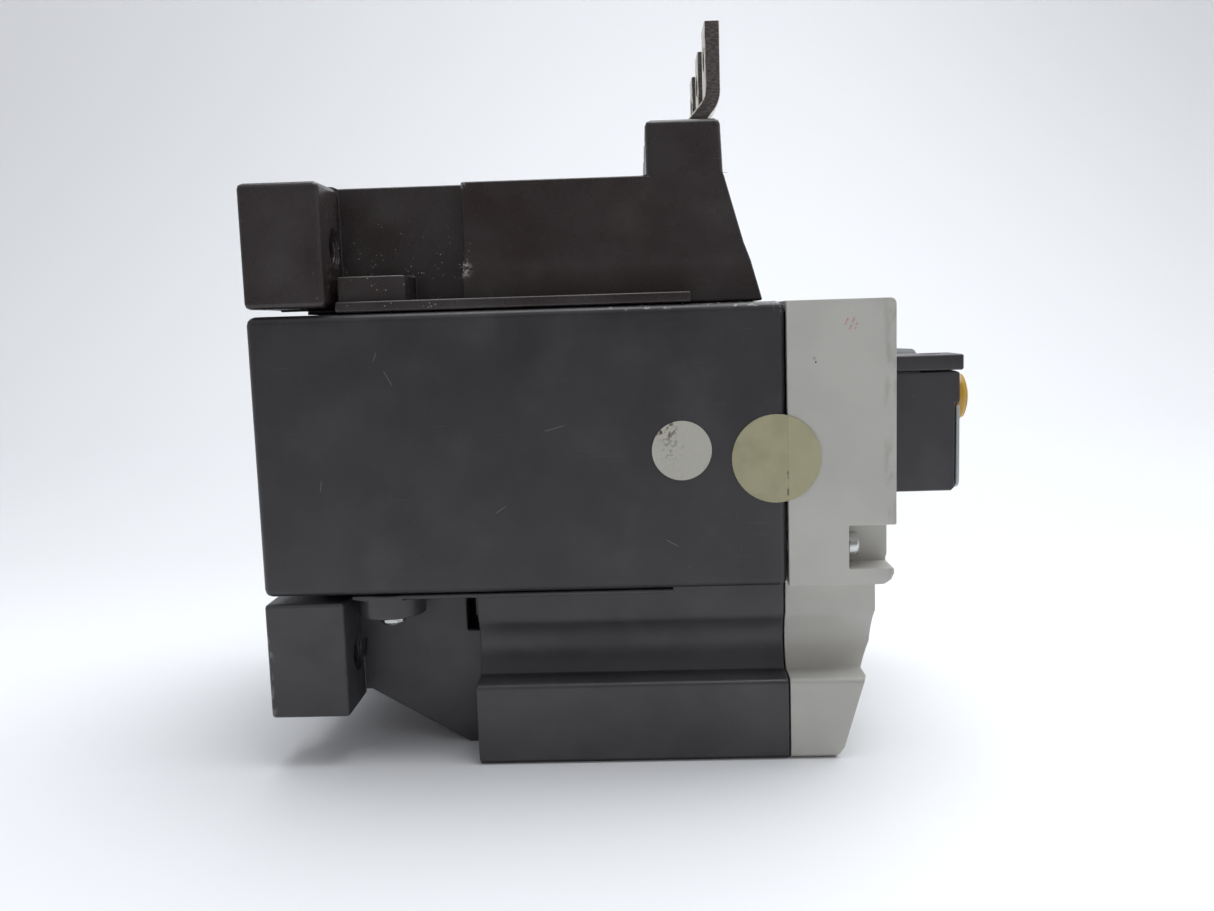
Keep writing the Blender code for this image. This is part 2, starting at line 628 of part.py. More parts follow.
def make_front_cover():
    front, chin = COVER_FRONT, -BODY_TOP
    lip = front - CHIN_RADIUS - RUN
    profile = [(COVER_REAR, chin), (lip, chin), *arc(lip, chin + CHIN_RADIUS, CHIN_RADIUS, -70, 20, 3),
               (front - CHIN_LEAN, POCKET_FLOOR + CHIN_RADIUS / 2), (front - CHIN_LEAN, POCKET_CEILING),
               (front, POCKET_CEILING + CHIN_LEAN),
               *arc(front - EDGE, BODY_TOP - EDGE, EDGE, 0, 90, 3), (COVER_REAR, BODY_TOP)]
    body = piece("front_cover", outline("side", profile, -HALF, HALF), GREY)
    soften(body, 0.8 * MM, 2, 60)
    lower = outline("front", cove_profile(), COVER_REAR, COVER_FRONT + OVER)
    slope = [(front - CHIN_STEP, chin + OVER), (front - CHIN_STEP, LOWER_BASE - 7 * MM),
             (front - 3.9 * MM, LOWER_BASE - 14.7 * MM), (front - 6.9 * MM, LOWER_BASE - 21.5 * MM),
             (front - 11 * MM, LOWER_FLOOR + 2.6 * MM), (front - 12.8 * MM, LOWER_FLOOR),
             (front - 12.8 * MM, LOWER_FLOOR - OVER), (front + 5 * MM, LOWER_FLOOR - OVER),
             (front + 5 * MM, chin + OVER)]
    cut(lower, outline("side", slope, -HALF - OVER, HALF + OVER))
    flat = HALF - COVE_FLAT
    add(lower, boxes((-flat, flat, COVER_REAR, front - CHIN_STEP, LOWER_BASE - OVER, chin + OVER)))
    add(body, lower)
    pocket_x = HALF - POCKET_WIDTH
    cut(body, boxes(*mirrored((pocket_x, HALF + OVER, SEAT_F, front + OVER, POCKET_FLOOR, POCKET_CEILING))))
    room = HALF - COVER_WALL
    inner_front = front - COVER_WALL
    behind = COVER_REAR - OVER
    shelf = POCKET_CEILING + COVER_WALL
    cut(body, boxes((-room, room, behind, inner_front, shelf, BODY_TOP - COVER_WALL)))
    narrow = HALF - COVE_DEEP - WALL
    step = inner_front - CHIN_STEP
    inside = [(behind, shelf + OVER), (step, shelf + OVER), (step, LOWER_BASE - 8 * MM),
              (front - 11.2 * MM, LOWER_BASE - 23 * MM),
              (front - 15 * MM, LOWER_FLOOR + WALL), (behind, LOWER_FLOOR + WALL)]
    cut(body, outline("side", inside, -narrow, narrow))
    cut(body, boxes(*mirrored((narrow - OVER, HALF - WALL, behind, front - 15 * MM, LOWER_FLOOR + WALL,
                               LOWER_BASE - COVE_BOTTOM - WALL))))
    cut(body, rods("f", (at(0, front, 0), SHAFT_RADIUS + RUN, 10 * MM),
                   (at(BUTTON_X, front, BUTTON_Z), BUTTON_RADIUS + RUN, 10 * MM),
                   (at(DIAL_X, front, DIAL_Z), DIAL_RADIUS + RUN, 10 * MM)))
    cut(body, rods("f", *[(at(x, front - 7 * MM, CLAMP_Z), 4.2 * MM, 20 * MM) for x in POLES], steps=16))
    middle = (COVER_REAR + SEAT_F) / 2
    shanks = [(at(side * SCREW_X, middle, SCREW_Z), SCREW_RADIUS + RUN / 2, COVER_DEPTH) for side in (-1, 1)]
    cut(body, rods("f", *shanks, steps=12))
    return body


def fixing_screw():
    """A pan-head screw along f with its head in front of f = 0."""
    crown = SCREW_HEAD - SMALL_EDGE
    point = SCREW_RADIUS / 2
    profile = [(0.0, SCREW_HEAD_HEIGHT), (crown, SCREW_HEAD_HEIGHT),
               (SCREW_HEAD, SCREW_HEAD_HEIGHT - SMALL_EDGE), (SCREW_HEAD, 0.0), (SCREW_RADIUS, 0.0),
               (SCREW_RADIUS, point - SCREW_LENGTH), (point, -SCREW_LENGTH), (0.0, -SCREW_LENGTH)]
    return turned(profile, (0.0, 0.0), 12)


def make_screw(name, place, turn):
    """A fixing screw with a cross recess, its seat at place."""
    shape = fixing_screw()
    arm, slot, depth = SCREW_HEAD * 0.6, 0.4 * MM, 0.8 * MM
    top = SCREW_HEAD_HEIGHT
    recess = boxes((-arm, arm, top - depth, top + depth, -slot, slot))
    upright = boxes((-slot, slot, top - depth, top + depth, -arm, arm))
    for made in (shape, recess, upright):
        made.data.transform(Matrix.Translation(place) @ turn)
    screw = piece(name, shape, ZINC)
    cut(screw, recess)
    cut(screw, upright)
    return screw


def make_fixing_screws():
    upward = Matrix.Rotation(math.pi / 2, 4, "X")
    for label, side in (("left", -1), ("right", 1)):
        make_screw("cover_screw_" + label, at(side * SCREW_X, SEAT_F + GAP, SCREW_Z), Matrix.Identity(4))
        make_screw("housing_screw_" + label,
                   at(side * HOUSING_SCREW_X, HOUSING_SCREW_F, LOWER_BASE - HOUSING_BOSS_HEIGHT - GAP), upward)


def make_barrier(label, side):
    half_height = BODY_TOP - WALL - GAP
    x = side * PITCH / 2
    plate = boxes((x - RIB / 2, x + RIB / 2, WALL + GAP, CONTACT_F + 4 * MM, -half_height, half_height))
    body = piece("phase_barrier_" + label, plate, NATURAL)
    window = CARRIER_HEIGHT / 2 + 1 * MM
    cut(body, boxes((x - RIB, x + RIB, BEAM_REAR - RUN, CARRIER_FRONT + 1 * MM, -window, window)))
    cut(body, rods("x", (at(x, TRIP_F, TRIP_Z), TRIP_SHAFT + RUN, 2 * RIB), steps=12))
    return body


# ---------------------------------------------------------------- current path

def make_line_bar(number, x):
    inside = CONTACT_F + LINE_BAR / 2
    top = TOWER_TOP + LUG_HEIGHT
    path = [(LUG_F, top), (LUG_F, TOWER_TOP + 5.4 * MM), (LUG_F - 0.7 * MM, TOWER_TOP + 3.2 * MM),
            (LUG_F - 4.2 * MM, TOWER_TOP - 2 * MM), (inside, TOWER_TOP - 4.8 * MM), (inside, CONTACT_Z - 4 * MM)]
    bar = piece(f"line_bar_{number}", bent_bar(path, LINE_BAR, x, BAR_WIDTH), TINNED)
    cut(bar, rods("f", (at(x, LUG_F, top - LUG_HOLE_DROP), LUG_HOLE, 3 * LINE_BAR), steps=20))
    add(bar, contact_tip(x, CONTACT_Z))
    return bar


def make_contact_bar(number, x):
    front = CONTACT_F + LOAD_BAR / 2
    low = -BODY_TOP + WALL + 2.2 * MM + LOAD_BAR / 2
    rear = COIL_FRONT + 6.5 * MM
    path = [(front, -CONTACT_Z + 4 * MM), (front, low), (rear, low), (rear, -2 * MM)]
    bar = piece(f"contact_bar_{number}", bent_bar(path, LOAD_BAR, x, BAR_WIDTH), COPPER)
    add(bar, contact_tip(x, -CONTACT_Z))
    return bar


def make_load_bar(number, x):
    start = COIL_REAR + 6 * MM
    level = -18.5 * MM
    under = LOWER_BASE - LOAD_RUN_DROP
    leg = LEG_F + LOAD_BAR / 2
    end = CLAMP_TOP - CLAMP_HEIGHT - OVER
    path = [(start, level), (LOAD_LEG_F, level), (LOAD_LEG_F, under), (leg, under), (leg, end)]
    return piece(f"load_bar_{number}", bent_bar(path, LOAD_BAR, x, BAR_WIDTH), TINNED)


def contact_tip(x, z):
    """The silver button on a fixed contact's rear face."""
    return rods("f", (at(x, CONTACT_F - TIP / 2 + GAP / 2, z), TIP_RADIUS, TIP + GAP), steps=12)


def make_bridge(number, x):
    front = BRIDGE_FRONT
    end = CONTACT_Z + 3 * MM
    shape = boxes((x - 4 * MM, x + 4 * MM, front - BRIDGE, front, -end, end))
    bridge = piece(f"moving_contact_{number}", shape, COPPER, (x, front, 0.0))
    soften(bridge, 0.5 * MM, 1)
    return bridge


def make_carrier():
    rear = CARRIER_FRONT - CARRIER_DEPTH
    height = CARRIER_HEIGHT / 2
    side = PITCH + BAR_WIDTH / 2 + 4 * MM
    body = piece("contact_carrier", boxes((-side, side, rear, CARRIER_FRONT, -height, height)), NATURAL,
                 (0.0, rear, 0.0))
    tip = CAM_REAR - GAP
    pusher = PITCH / 2 - RIB / 2 - 4 * MM
    half = 2.5 * MM
    add(body, boxes(*mirrored((pusher - half, pusher + half, CARRIER_FRONT - OVER, tip, -half, half))))
    seat = BRIDGE_FRONT - BRIDGE - GAP
    add(body, boxes(*at_poles(half, CARRIER_FRONT - OVER, seat, -half, half)))
    return body


def make_contact_spring(number, x):
    start = BEAM_REAR + BEAM_DEPTH + SPRING_SPACE
    end = CARRIER_FRONT - CARRIER_DEPTH - SPRING_SPACE
    return piece(f"contact_spring_{number}", helix((x, 0.0), start, end, 3 * MM, 0.8 * MM, 5), STEEL)


# ---------------------------------------------------------------- trip parts

def make_coil(number, x):
    turns = 7
    step = (COIL_FRONT - COIL_REAR) / turns
    low = COIL_RADIUS - 1.1 * MM
    outer = []
    for i in range(turns):
        end = COIL_FRONT - i * step
        outer += [(low, end), (COIL_RADIUS, end - step / 2)]
    profile = [(COIL_BORE, COIL_FRONT), *outer, (low, COIL_REAR), (COIL_BORE, COIL_REAR),
               (COIL_BORE, COIL_FRONT)]
    return piece(f"trip_coil_{number}", turned(profile, (x, COIL_Z), 12), COPPER)


def make_yoke(number, x):
    base = COIL_Z - COIL_RADIUS - YOKE_PLATE / 2 - 2 * GAP
    top = COIL_Z + COIL_RADIUS
    path = [(YOKE_REAR, top), (YOKE_REAR, base), (YOKE_FRONT, base), (YOKE_FRONT, top)]
    yoke = piece(f"coil_yoke_{number}", bent_bar(path, YOKE_PLATE, x, YOKE_WIDTH), STEEL)
    core_end = COIL_REAR + 4 * MM
    core = (at(x, (YOKE_REAR + core_end) / 2, COIL_Z), PLUNGER_RADIUS, core_end - YOKE_REAR)
    add(yoke, rods("f", core, steps=16))
    cut(yoke, rods("f", (at(x, YOKE_FRONT, COIL_Z), PLUNGER_RADIUS + RUN, 2 * YOKE_PLATE), steps=16))
    return yoke


def make_plunger(number, x):
    tip = TRIP_F - TRIP_SHAFT - PLUNGER_TRAVEL - RUN
    shoulder = YOKE_FRONT + 4 * MM
    rear = COIL_REAR + 5 * MM
    profile = [(0.0, tip), (PIN_RADIUS, tip), (PIN_RADIUS, shoulder), (PLUNGER_RADIUS, shoulder),
               (PLUNGER_RADIUS, rear), (0.0, rear)]
    return piece(f"plunger_{number}", turned(profile, (x, COIL_Z), 16), STEEL, (x, rear, COIL_Z))


def make_bimetal(number, x):
    """A bimetal strip on its foot, wound with five turns of heater tape."""
    level, thick, half = BIMETAL_Z, 1.2 * MM, 3 * MM
    shape = boxes((x - half, x + half, WALL + 6 * MM, COIL_FRONT + 2 * MM, level, level + thick))
    strip = piece(f"bimetal_{number}", shape, STEEL)
    add(strip, boxes((x - half, x + half, WALL + 5 * MM, WALL + 8 * MM, level - 4 * MM, level + thick)))
    tape = HEATER_TAPE
    turns = [COIL_REAR + 3 * MM + i * 4 * tape for i in range(5)]
    add(strip, boxes(*[(x - half - tape, x + half + tape, f, f + 2 * tape, level - tape, level + thick + tape)
                       for f in turns]))
    return strip


def make_trip_bar():
    end = HALF - WALL + PIVOT_BORE - RUN
    shaft = rods("x", (at(0, TRIP_F, TRIP_Z), TRIP_SHAFT, 2 * end), steps=16)
    bar = piece("trip_bar", shaft, NATURAL, (0.0, TRIP_F, TRIP_Z))
    face = TRIP_F - PADDLE - 0.3 * MM
    plate = (face, face + PADDLE)
    paddles = at_poles(3 * MM, *plate, COIL_Z - 4 * MM, TRIP_Z + OVER)
    arm = (LINK_X - LINK_HALF, LINK_X + LINK_HALF, *plate, LINK_Z - LINK_HALF, TRIP_Z + OVER)
    add(bar, boxes(*paddles, arm))
    return bar


def make_trip_link():
    rear = TRIP_F + 0.7 * MM
    end = LATCH_F - LATCH_PLATE / 2 - 2 * GAP
    link = boxes((LINK_X - LINK_HALF, LINK_X + LINK_HALF, rear, end, LINK_Z - LINK_HALF, LINK_Z + LINK_HALF))
    return piece("trip_link", link, NATURAL, (LINK_X, rear, LINK_Z))


def make_latch():
    pivot = LINK_Z - 10 * MM
    x = LINK_X + 0.4 * MM
    lever = boxes((x - 1.4 * MM, x + 1.4 * MM, LATCH_F - LATCH_PLATE / 2, LATCH_F + LATCH_PLATE / 2,
                   pivot, LINK_Z + 5 * MM))
    latch = piece("latch_lever", lever, STEEL, (LINK_X, LATCH_F, pivot))
    add(latch, rods("x", (at(x, LATCH_F, pivot), 2.2 * MM, 4 * MM), steps=16))
    return latch


def make_mechanism_frame():
    high = 20.2 * MM
    path = [(CAM_REAR - 2 * MM, high), (FRAME_F, high), (FRAME_F, -high), (CAM_REAR - 2 * MM, -high)]
    frame = piece("mechanism_frame", bent_bar(path, 1.5 * MM, 0.0, 2 * FRAME_HALF), STEEL)
    cut(frame, rods("f", (at(0, FRAME_F, 0), SHAFT_RADIUS + RUN, 5 * MM)))
    add_button_bracket(frame)
    return frame


def add_button_bracket(frame):
    """The arm that the stop button's spring rests on."""
    rear = BUTTON_INSIDE - BRACKET_DROP
    left, right = FRAME_HALF - 3 * MM, BUTTON_X + 6 * MM
    low, high = BUTTON_Z - 5 * MM, BUTTON_Z + 5 * MM
    plate = boxes((left, right, rear - 1.2 * MM, rear, low, high))
    cut(plate, rods("f", (at(BUTTON_X, rear, BUTTON_Z), BUTTON_STEM + RUN, 6 * MM), steps=16))
    add(frame, plate)
    add(frame, boxes((left, left + 1.5 * MM, FRAME_F, rear - 0.2 * MM, low, high)))


# ---------------------------------------------------------------- handle and controls

def make_shaft():
    length = SHAFT_END - CAM_REAR
    rod = rods("f", (at(0, CAM_REAR + length / 2, 0), SHAFT_RADIUS, length))
    return piece("handle_shaft", rod, STEEL, (0.0, CAM_REAR, 0.0))


def make_cam():
    disc = rods("f", (at(0, CAM_REAR + CAM_DEPTH / 2, 0), CAM_RADIUS, CAM_DEPTH), steps=32)
    cam = piece("drive_cam", disc, NATURAL, (0.0, CAM_REAR, 0.0))
    cut(cam, rods("f", (at(0, CAM_REAR, 0), SHAFT_RADIUS + GAP, 4 * CAM_DEPTH)))
    return cam


def make_handle():
    half = HANDLE_WIDTH / 2
    rear = COVER_FRONT + GAP + 0.2 * MM
    face = HANDLE_F - PLATE_THICK
    profile = [(rear + EDGE, -HANDLE_BOTTOM), (face - HANDLE_LIP, -HANDLE_BOTTOM),
               (face, -HANDLE_BOTTOM + HANDLE_LIP), (face, PLATE_TOP + GAP), (HANDLE_F, PLATE_TOP + GAP),
               (HANDLE_F, HANDLE_TOP), (rear + EDGE, HANDLE_TOP)]
    handle = piece("rotary_handle", outline("side", profile, -half, half), HANDLE_BLACK, (0.0, rear, 0.0))
    soften(handle, SMALL_EDGE, 2, 60)
    collar = rods("f", (at(0, rear + COLLAR_HEIGHT / 2, 0), COLLAR_RADIUS, COLLAR_HEIGHT), steps=40)
    add(handle, soften(collar, SMALL_EDGE, 2, 60))
    cut(handle, rods("f", (at(0, rear, 0), SHAFT_RADIUS + GAP, 2 * (SHAFT_END - rear + GAP))))
    cut(handle, rods("f", (at(0, HANDLE_F, CAP_Z), CAP_RADIUS + RUN, 2 * CAP_DEPTH), steps=32))
    groove = SLIDE_KEY + RUN / 2
    width = (SLIDE_KEY_X - groove, SLIDE_KEY_X + groove)
    length = (rear + COLLAR_HEIGHT + OVER, HANDLE_F + OVER)
    cut(handle, boxes(*mirrored((*width, *length, HANDLE_TOP - SLIDE_KEY_DEPTH - GAP, HANDLE_TOP + OVER))))
    return handle


def make_lock_slide():
    half = HANDLE_WIDTH / 2
    low = HANDLE_TOP + GAP
    rear = COVER_FRONT + COLLAR_HEIGHT + 1 * MM
    bar = boxes((-half, half, rear, HANDLE_F + SLIDE_PROUD, low, low + SLIDE_HEIGHT))
    slide = piece("lock_slide", bar, HANDLE_BLACK, (0.0, HANDLE_F, low))
    soften(slide, 0.5 * MM, 2, 60)
    key_rear = rear + 1.5 * MM
    width = (SLIDE_KEY_X - SLIDE_KEY, SLIDE_KEY_X + SLIDE_KEY)
    length = (key_rear, key_rear + SLIDE_KEY_LENGTH)
    add(slide, boxes(*mirrored((*width, *length, HANDLE_TOP - SLIDE_KEY_DEPTH, low + OVER))))
    cut(slide, rods("z", (at(0, HANDLE_F - 5.5 * MM, low), HASP_RADIUS, 5 * SLIDE_HEIGHT), steps=20))
    return slide


def make_handle_plate():
    half = HANDLE_WIDTH / 2 - 0.3 * MM
    low = -HANDLE_BOTTOM + 0.6 * MM
    corner = 2.2 * MM
    right = [(half, PLATE_TOP), *arc(half - corner, low + corner, corner, 0, -90, 3)]
    profile = right + [(-x, z) for x, z in reversed(right)]
    rear = HANDLE_F - PLATE_THICK + GAP
    plate = piece("handle_plate", outline("front", profile, rear, HANDLE_F), PLATE_GREY)
    cut(plate, rods("f", (at(0, HANDLE_F, CAP_Z), CAP_RADIUS + RUN, 4 * PLATE_THICK), steps=32))
    return plate


def make_test_cap():
    rear = HANDLE_F - CAP_DEPTH + CAP_TRAVEL + GAP
    edge = HANDLE_F + CAP_PROUD
    radius = (CAP_RADIUS ** 2 + CAP_CROWN ** 2) / (2 * CAP_CROWN)
    crown = []
    for i in range(5):
        r = CAP_RADIUS * i / 4
        crown.append((r, edge + CAP_CROWN - radius + math.sqrt(radius ** 2 - r ** 2)))
    profile = [*crown, (CAP_RADIUS, rear), (0.0, rear)]
    return piece("test_button", turned(profile, (0.0, CAP_Z), 32), YELLOW, (0.0, rear, CAP_Z))


def make_stop_button():
    tip = COVER_FRONT + BUTTON_PROUD
    inside = BUTTON_INSIDE
    flange = BUTTON_RADIUS + BUTTON_FLANGE
    profile = [(0.0, tip), (BUTTON_RADIUS - 0.9 * MM, tip), (BUTTON_RADIUS - 0.5 * MM, tip - 0.6 * MM),
               (BUTTON_RADIUS, tip - 8 * MM), (BUTTON_RADIUS, inside + BUTTON_TRAVEL),
               (flange, inside + BUTTON_TRAVEL), (flange, inside),
               (BUTTON_STEM, inside), (BUTTON_STEM, inside - STEM_LENGTH), (0.0, inside - STEM_LENGTH)]
    shape = turned(profile, (BUTTON_X, BUTTON_Z), 24)
    return piece("stop_button", shape, BLUE_GREY, (BUTTON_X, inside, BUTTON_Z))


def make_button_spring():
    start, end = BUTTON_INSIDE - BRACKET_DROP + SPRING_SPACE, BUTTON_INSIDE - SPRING_SPACE
    return piece("button_spring", helix((BUTTON_X, BUTTON_Z), start, end, 3.2 * MM, 0.6 * MM, 4), STEEL)


def make_main_spring():
    start = FRAME_F + 1.6 * MM
    return piece("main_spring", helix((0.0, 0.0), start, start + 8 * MM, 6 * MM, 1.2 * MM, 4), STEEL)


def make_setting_dial():
    tip = COVER_FRONT - 0.6 * MM
    inside = COVER_FRONT - COVER_WALL - GAP
    flange, stem = DIAL_RADIUS + DIAL_SLOT, DIAL_RADIUS / 2
    profile = [(0.0, tip), (DIAL_RADIUS, tip), (DIAL_RADIUS, inside), (flange, inside),
               (flange, inside - 2 * MM), (stem, inside - 2 * MM), (stem, inside - 9 * MM),
               (0.0, inside - 9 * MM)]
    dial = piece("setting_dial", turned(profile, (DIAL_X, DIAL_Z), 24), PLATE_GREY, (DIAL_X, tip, DIAL_Z))
    half, length = DIAL_SLOT / 2, DIAL_RADIUS - DIAL_SLOT
    slot = (DIAL_X - length, DIAL_X + length, tip - DIAL_SLOT, tip + OVER)
    cut(dial, boxes((*slot, DIAL_Z - half, DIAL_Z + half)))
    return dial


def make_clamp_cage(number, x):
    outer = BAR_WIDTH / 2 + GAP + CLAMP_PLATE
    rear, front = LEG_F - CLAMP_REACH, CAGE_FRONT
    low = CLAMP_TOP - CLAMP_HEIGHT
    shape = boxes((x - outer, x + outer, rear, front, low, CLAMP_TOP))
    cage = piece(f"clamp_cage_{number}", shape, ZINC, (x, front, CLAMP_Z))
    hollow = (x - outer + CLAMP_PLATE, x + outer - CLAMP_PLATE, rear + CLAMP_PLATE, front - CLAMP_PLATE)
    cut(cage, boxes((*hollow, low - OVER, CLAMP_TOP + OVER)))
    cut(cage, rods("f", (at(x, front, CLAMP_Z), CLAMP_SHANK + RUN, 3 * CLAMP_PLATE), steps=16))
    return cage


def make_clamp_screw(number, x):
    tip = LEG_F + LOAD_BAR + GAP
    head = CAGE_FRONT + CLAMP_TRAVEL + RUN
    top = head + 3.2 * MM
    slot, cross = (top - 1.6 * MM, top + OVER), CLAMP_HEAD - 0.9 * MM
    profile = [(0.0, top), (CLAMP_HEAD - RUN, top), (CLAMP_HEAD, top - RUN), (CLAMP_HEAD, head),
               (CLAMP_SHANK, head), (CLAMP_SHANK, tip + RUN), (CLAMP_SHANK - RUN, tip), (0.0, tip)]
    screw = piece(f"clamp_screw_{number}", turned(profile, (x, CLAMP_Z), 16), ZINC, (x, tip, CLAMP_Z))
    cut(screw, boxes((x - cross, x + cross, *slot, CLAMP_Z - SMALL_EDGE, CLAMP_Z + SMALL_EDGE)))
    return screw


# ---------------------------------------------------------------- labels

def make_dot(name, dot, look):
    setback, z, radius = dot
    x = -HALF - GAP / 2 - LABEL / 2
    return piece(name, rods("x", (at(x, BODY_DEPTH - setback, z), radius, LABEL), steps=48), look)


make_mid_housing()
make_upper_housing()
make_lower_housing()
make_front_cover()
make_fixing_screws()
make_barrier("left", -1)
make_barrier("right", 1)
make_carrier()
make_trip_bar()
make_trip_link()
make_latch()
make_mechanism_frame()
make_shaft()
make_cam()
make_handle()
make_lock_slide()
make_handle_plate()
make_test_cap()
make_stop_button()
make_button_spring()
make_main_spring()
make_setting_dial()
make_dot("white_dot", WHITE_DOT, WHITE_LABEL)
make_dot("beige_dot", BEIGE_DOT, BEIGE_LABEL)
for pole, place in enumerate(POLES, start=1):
    make_line_bar(pole, place)
    make_contact_bar(pole, place)
    make_load_bar(pole, place)
    make_bridge(pole, place)
    make_contact_spring(pole, place)
    make_coil(pole, place)
    make_yoke(pole, place)
    make_plunger(pole, place)
    make_bimetal(pole, place)
    make_clamp_cage(pole, place)
    make_clamp_screw(pole, place)
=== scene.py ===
"""Looks of a three-pole motor protection breaker with a rotary handle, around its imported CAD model.

X is the width, -Y is the operating front and +Z is up, in metres, as in the CAD. A place given as
(x, f, z) has f as the depth in front of the mounting plane, so it lies at y = -f.
"""
import json
import math
import random

import bmesh
import bpy
from mathutils import Euler, Matrix, Vector


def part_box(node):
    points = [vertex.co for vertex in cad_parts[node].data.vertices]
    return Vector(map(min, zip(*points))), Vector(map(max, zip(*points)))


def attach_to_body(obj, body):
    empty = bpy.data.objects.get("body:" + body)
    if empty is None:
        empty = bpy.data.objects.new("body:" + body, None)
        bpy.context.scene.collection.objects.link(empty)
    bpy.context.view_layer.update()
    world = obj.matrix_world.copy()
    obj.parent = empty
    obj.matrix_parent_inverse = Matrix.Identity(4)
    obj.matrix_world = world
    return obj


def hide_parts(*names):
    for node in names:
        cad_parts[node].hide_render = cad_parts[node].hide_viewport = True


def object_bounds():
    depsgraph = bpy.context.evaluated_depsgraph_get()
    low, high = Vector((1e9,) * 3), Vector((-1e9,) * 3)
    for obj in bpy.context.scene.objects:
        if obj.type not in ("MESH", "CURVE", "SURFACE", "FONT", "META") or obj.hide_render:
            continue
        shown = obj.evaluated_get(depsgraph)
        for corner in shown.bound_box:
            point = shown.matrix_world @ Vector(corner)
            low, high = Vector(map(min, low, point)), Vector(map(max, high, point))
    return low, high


MM = 0.001

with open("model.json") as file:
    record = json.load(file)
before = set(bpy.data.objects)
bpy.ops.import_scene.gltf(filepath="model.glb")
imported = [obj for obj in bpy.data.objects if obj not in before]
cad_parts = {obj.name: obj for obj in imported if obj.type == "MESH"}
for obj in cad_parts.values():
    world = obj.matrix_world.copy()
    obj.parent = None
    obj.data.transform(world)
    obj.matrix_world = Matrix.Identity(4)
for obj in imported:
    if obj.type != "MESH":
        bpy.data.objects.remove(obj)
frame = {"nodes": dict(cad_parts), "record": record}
cad_low, cad_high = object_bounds()
NODE_BODY = {node: body for body, nodes in frame["record"]["behaviour"]["bodies"].items() for node in nodes}
NODE_SLOT = {part["node"]: part["material_slot"] for part in frame["record"]["subparts"]}


# ---------------------------------------------------------------- frame measures

def face(node, corner, axis):
    """One coordinate of a node's box: corner 0 is the low one, 1 the high one, axis 0 to 2 is x, y, z."""
    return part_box(node)[corner][axis]


SIDE = face("mid_housing", 0, 0)
BODY_TOP = face("mid_housing", 1, 2)
BODY_FRONT = -face("mid_housing", 0, 1)
COVER_FRONT = -face("front_cover", 0, 1)
TOWER_TOP = face("upper_housing", 1, 2)
FLOOR = cad_low.z


# ---------------------------------------------------------------- wear and marks

# Scratches on the left wall: f, z and length in millimetres, lean from upright in degrees
SCRATCHES = (
    (27, 21, 2.2, 20),
    (29.5, 16.5, 4.0, -28),
    (52, -12, 3.0, 55),
    (64, 5, 5.0, 76),
    (88, -20, 3.5, -60),
    (14, -6, 2.6, 8),
)
SCRATCH_WIDTH = 0.09 * MM

# Pen strokes on the cover's left wall: f, z and length in millimetres
PEN_STROKES = ((124.9, 25.4, 2.2), (126.0, 25.0, 3.4), (126.8, 24.4, 1.6))
PEN_WIDTH, PEN_LEAN = 0.28 * MM, 24

# Tones of dirt and wear
DUST = (0.30, 0.29, 0.27)
GRIME = (0.24, 0.23, 0.20)
HAIRLINE = (0.16, 0.15, 0.15)
SCRATCHED = (0.30, 0.29, 0.28)
RUBBED = (0.30, 0.29, 0.29)
NICKED = (0.40, 0.39, 0.37)
THICK_DUST = (0.42, 0.40, 0.37)
PEN_INK = (0.55, 0.12, 0.17)
SPECK_BLACK = (0.02, 0.02, 0.02)


# ---------------------------------------------------------------- node materials

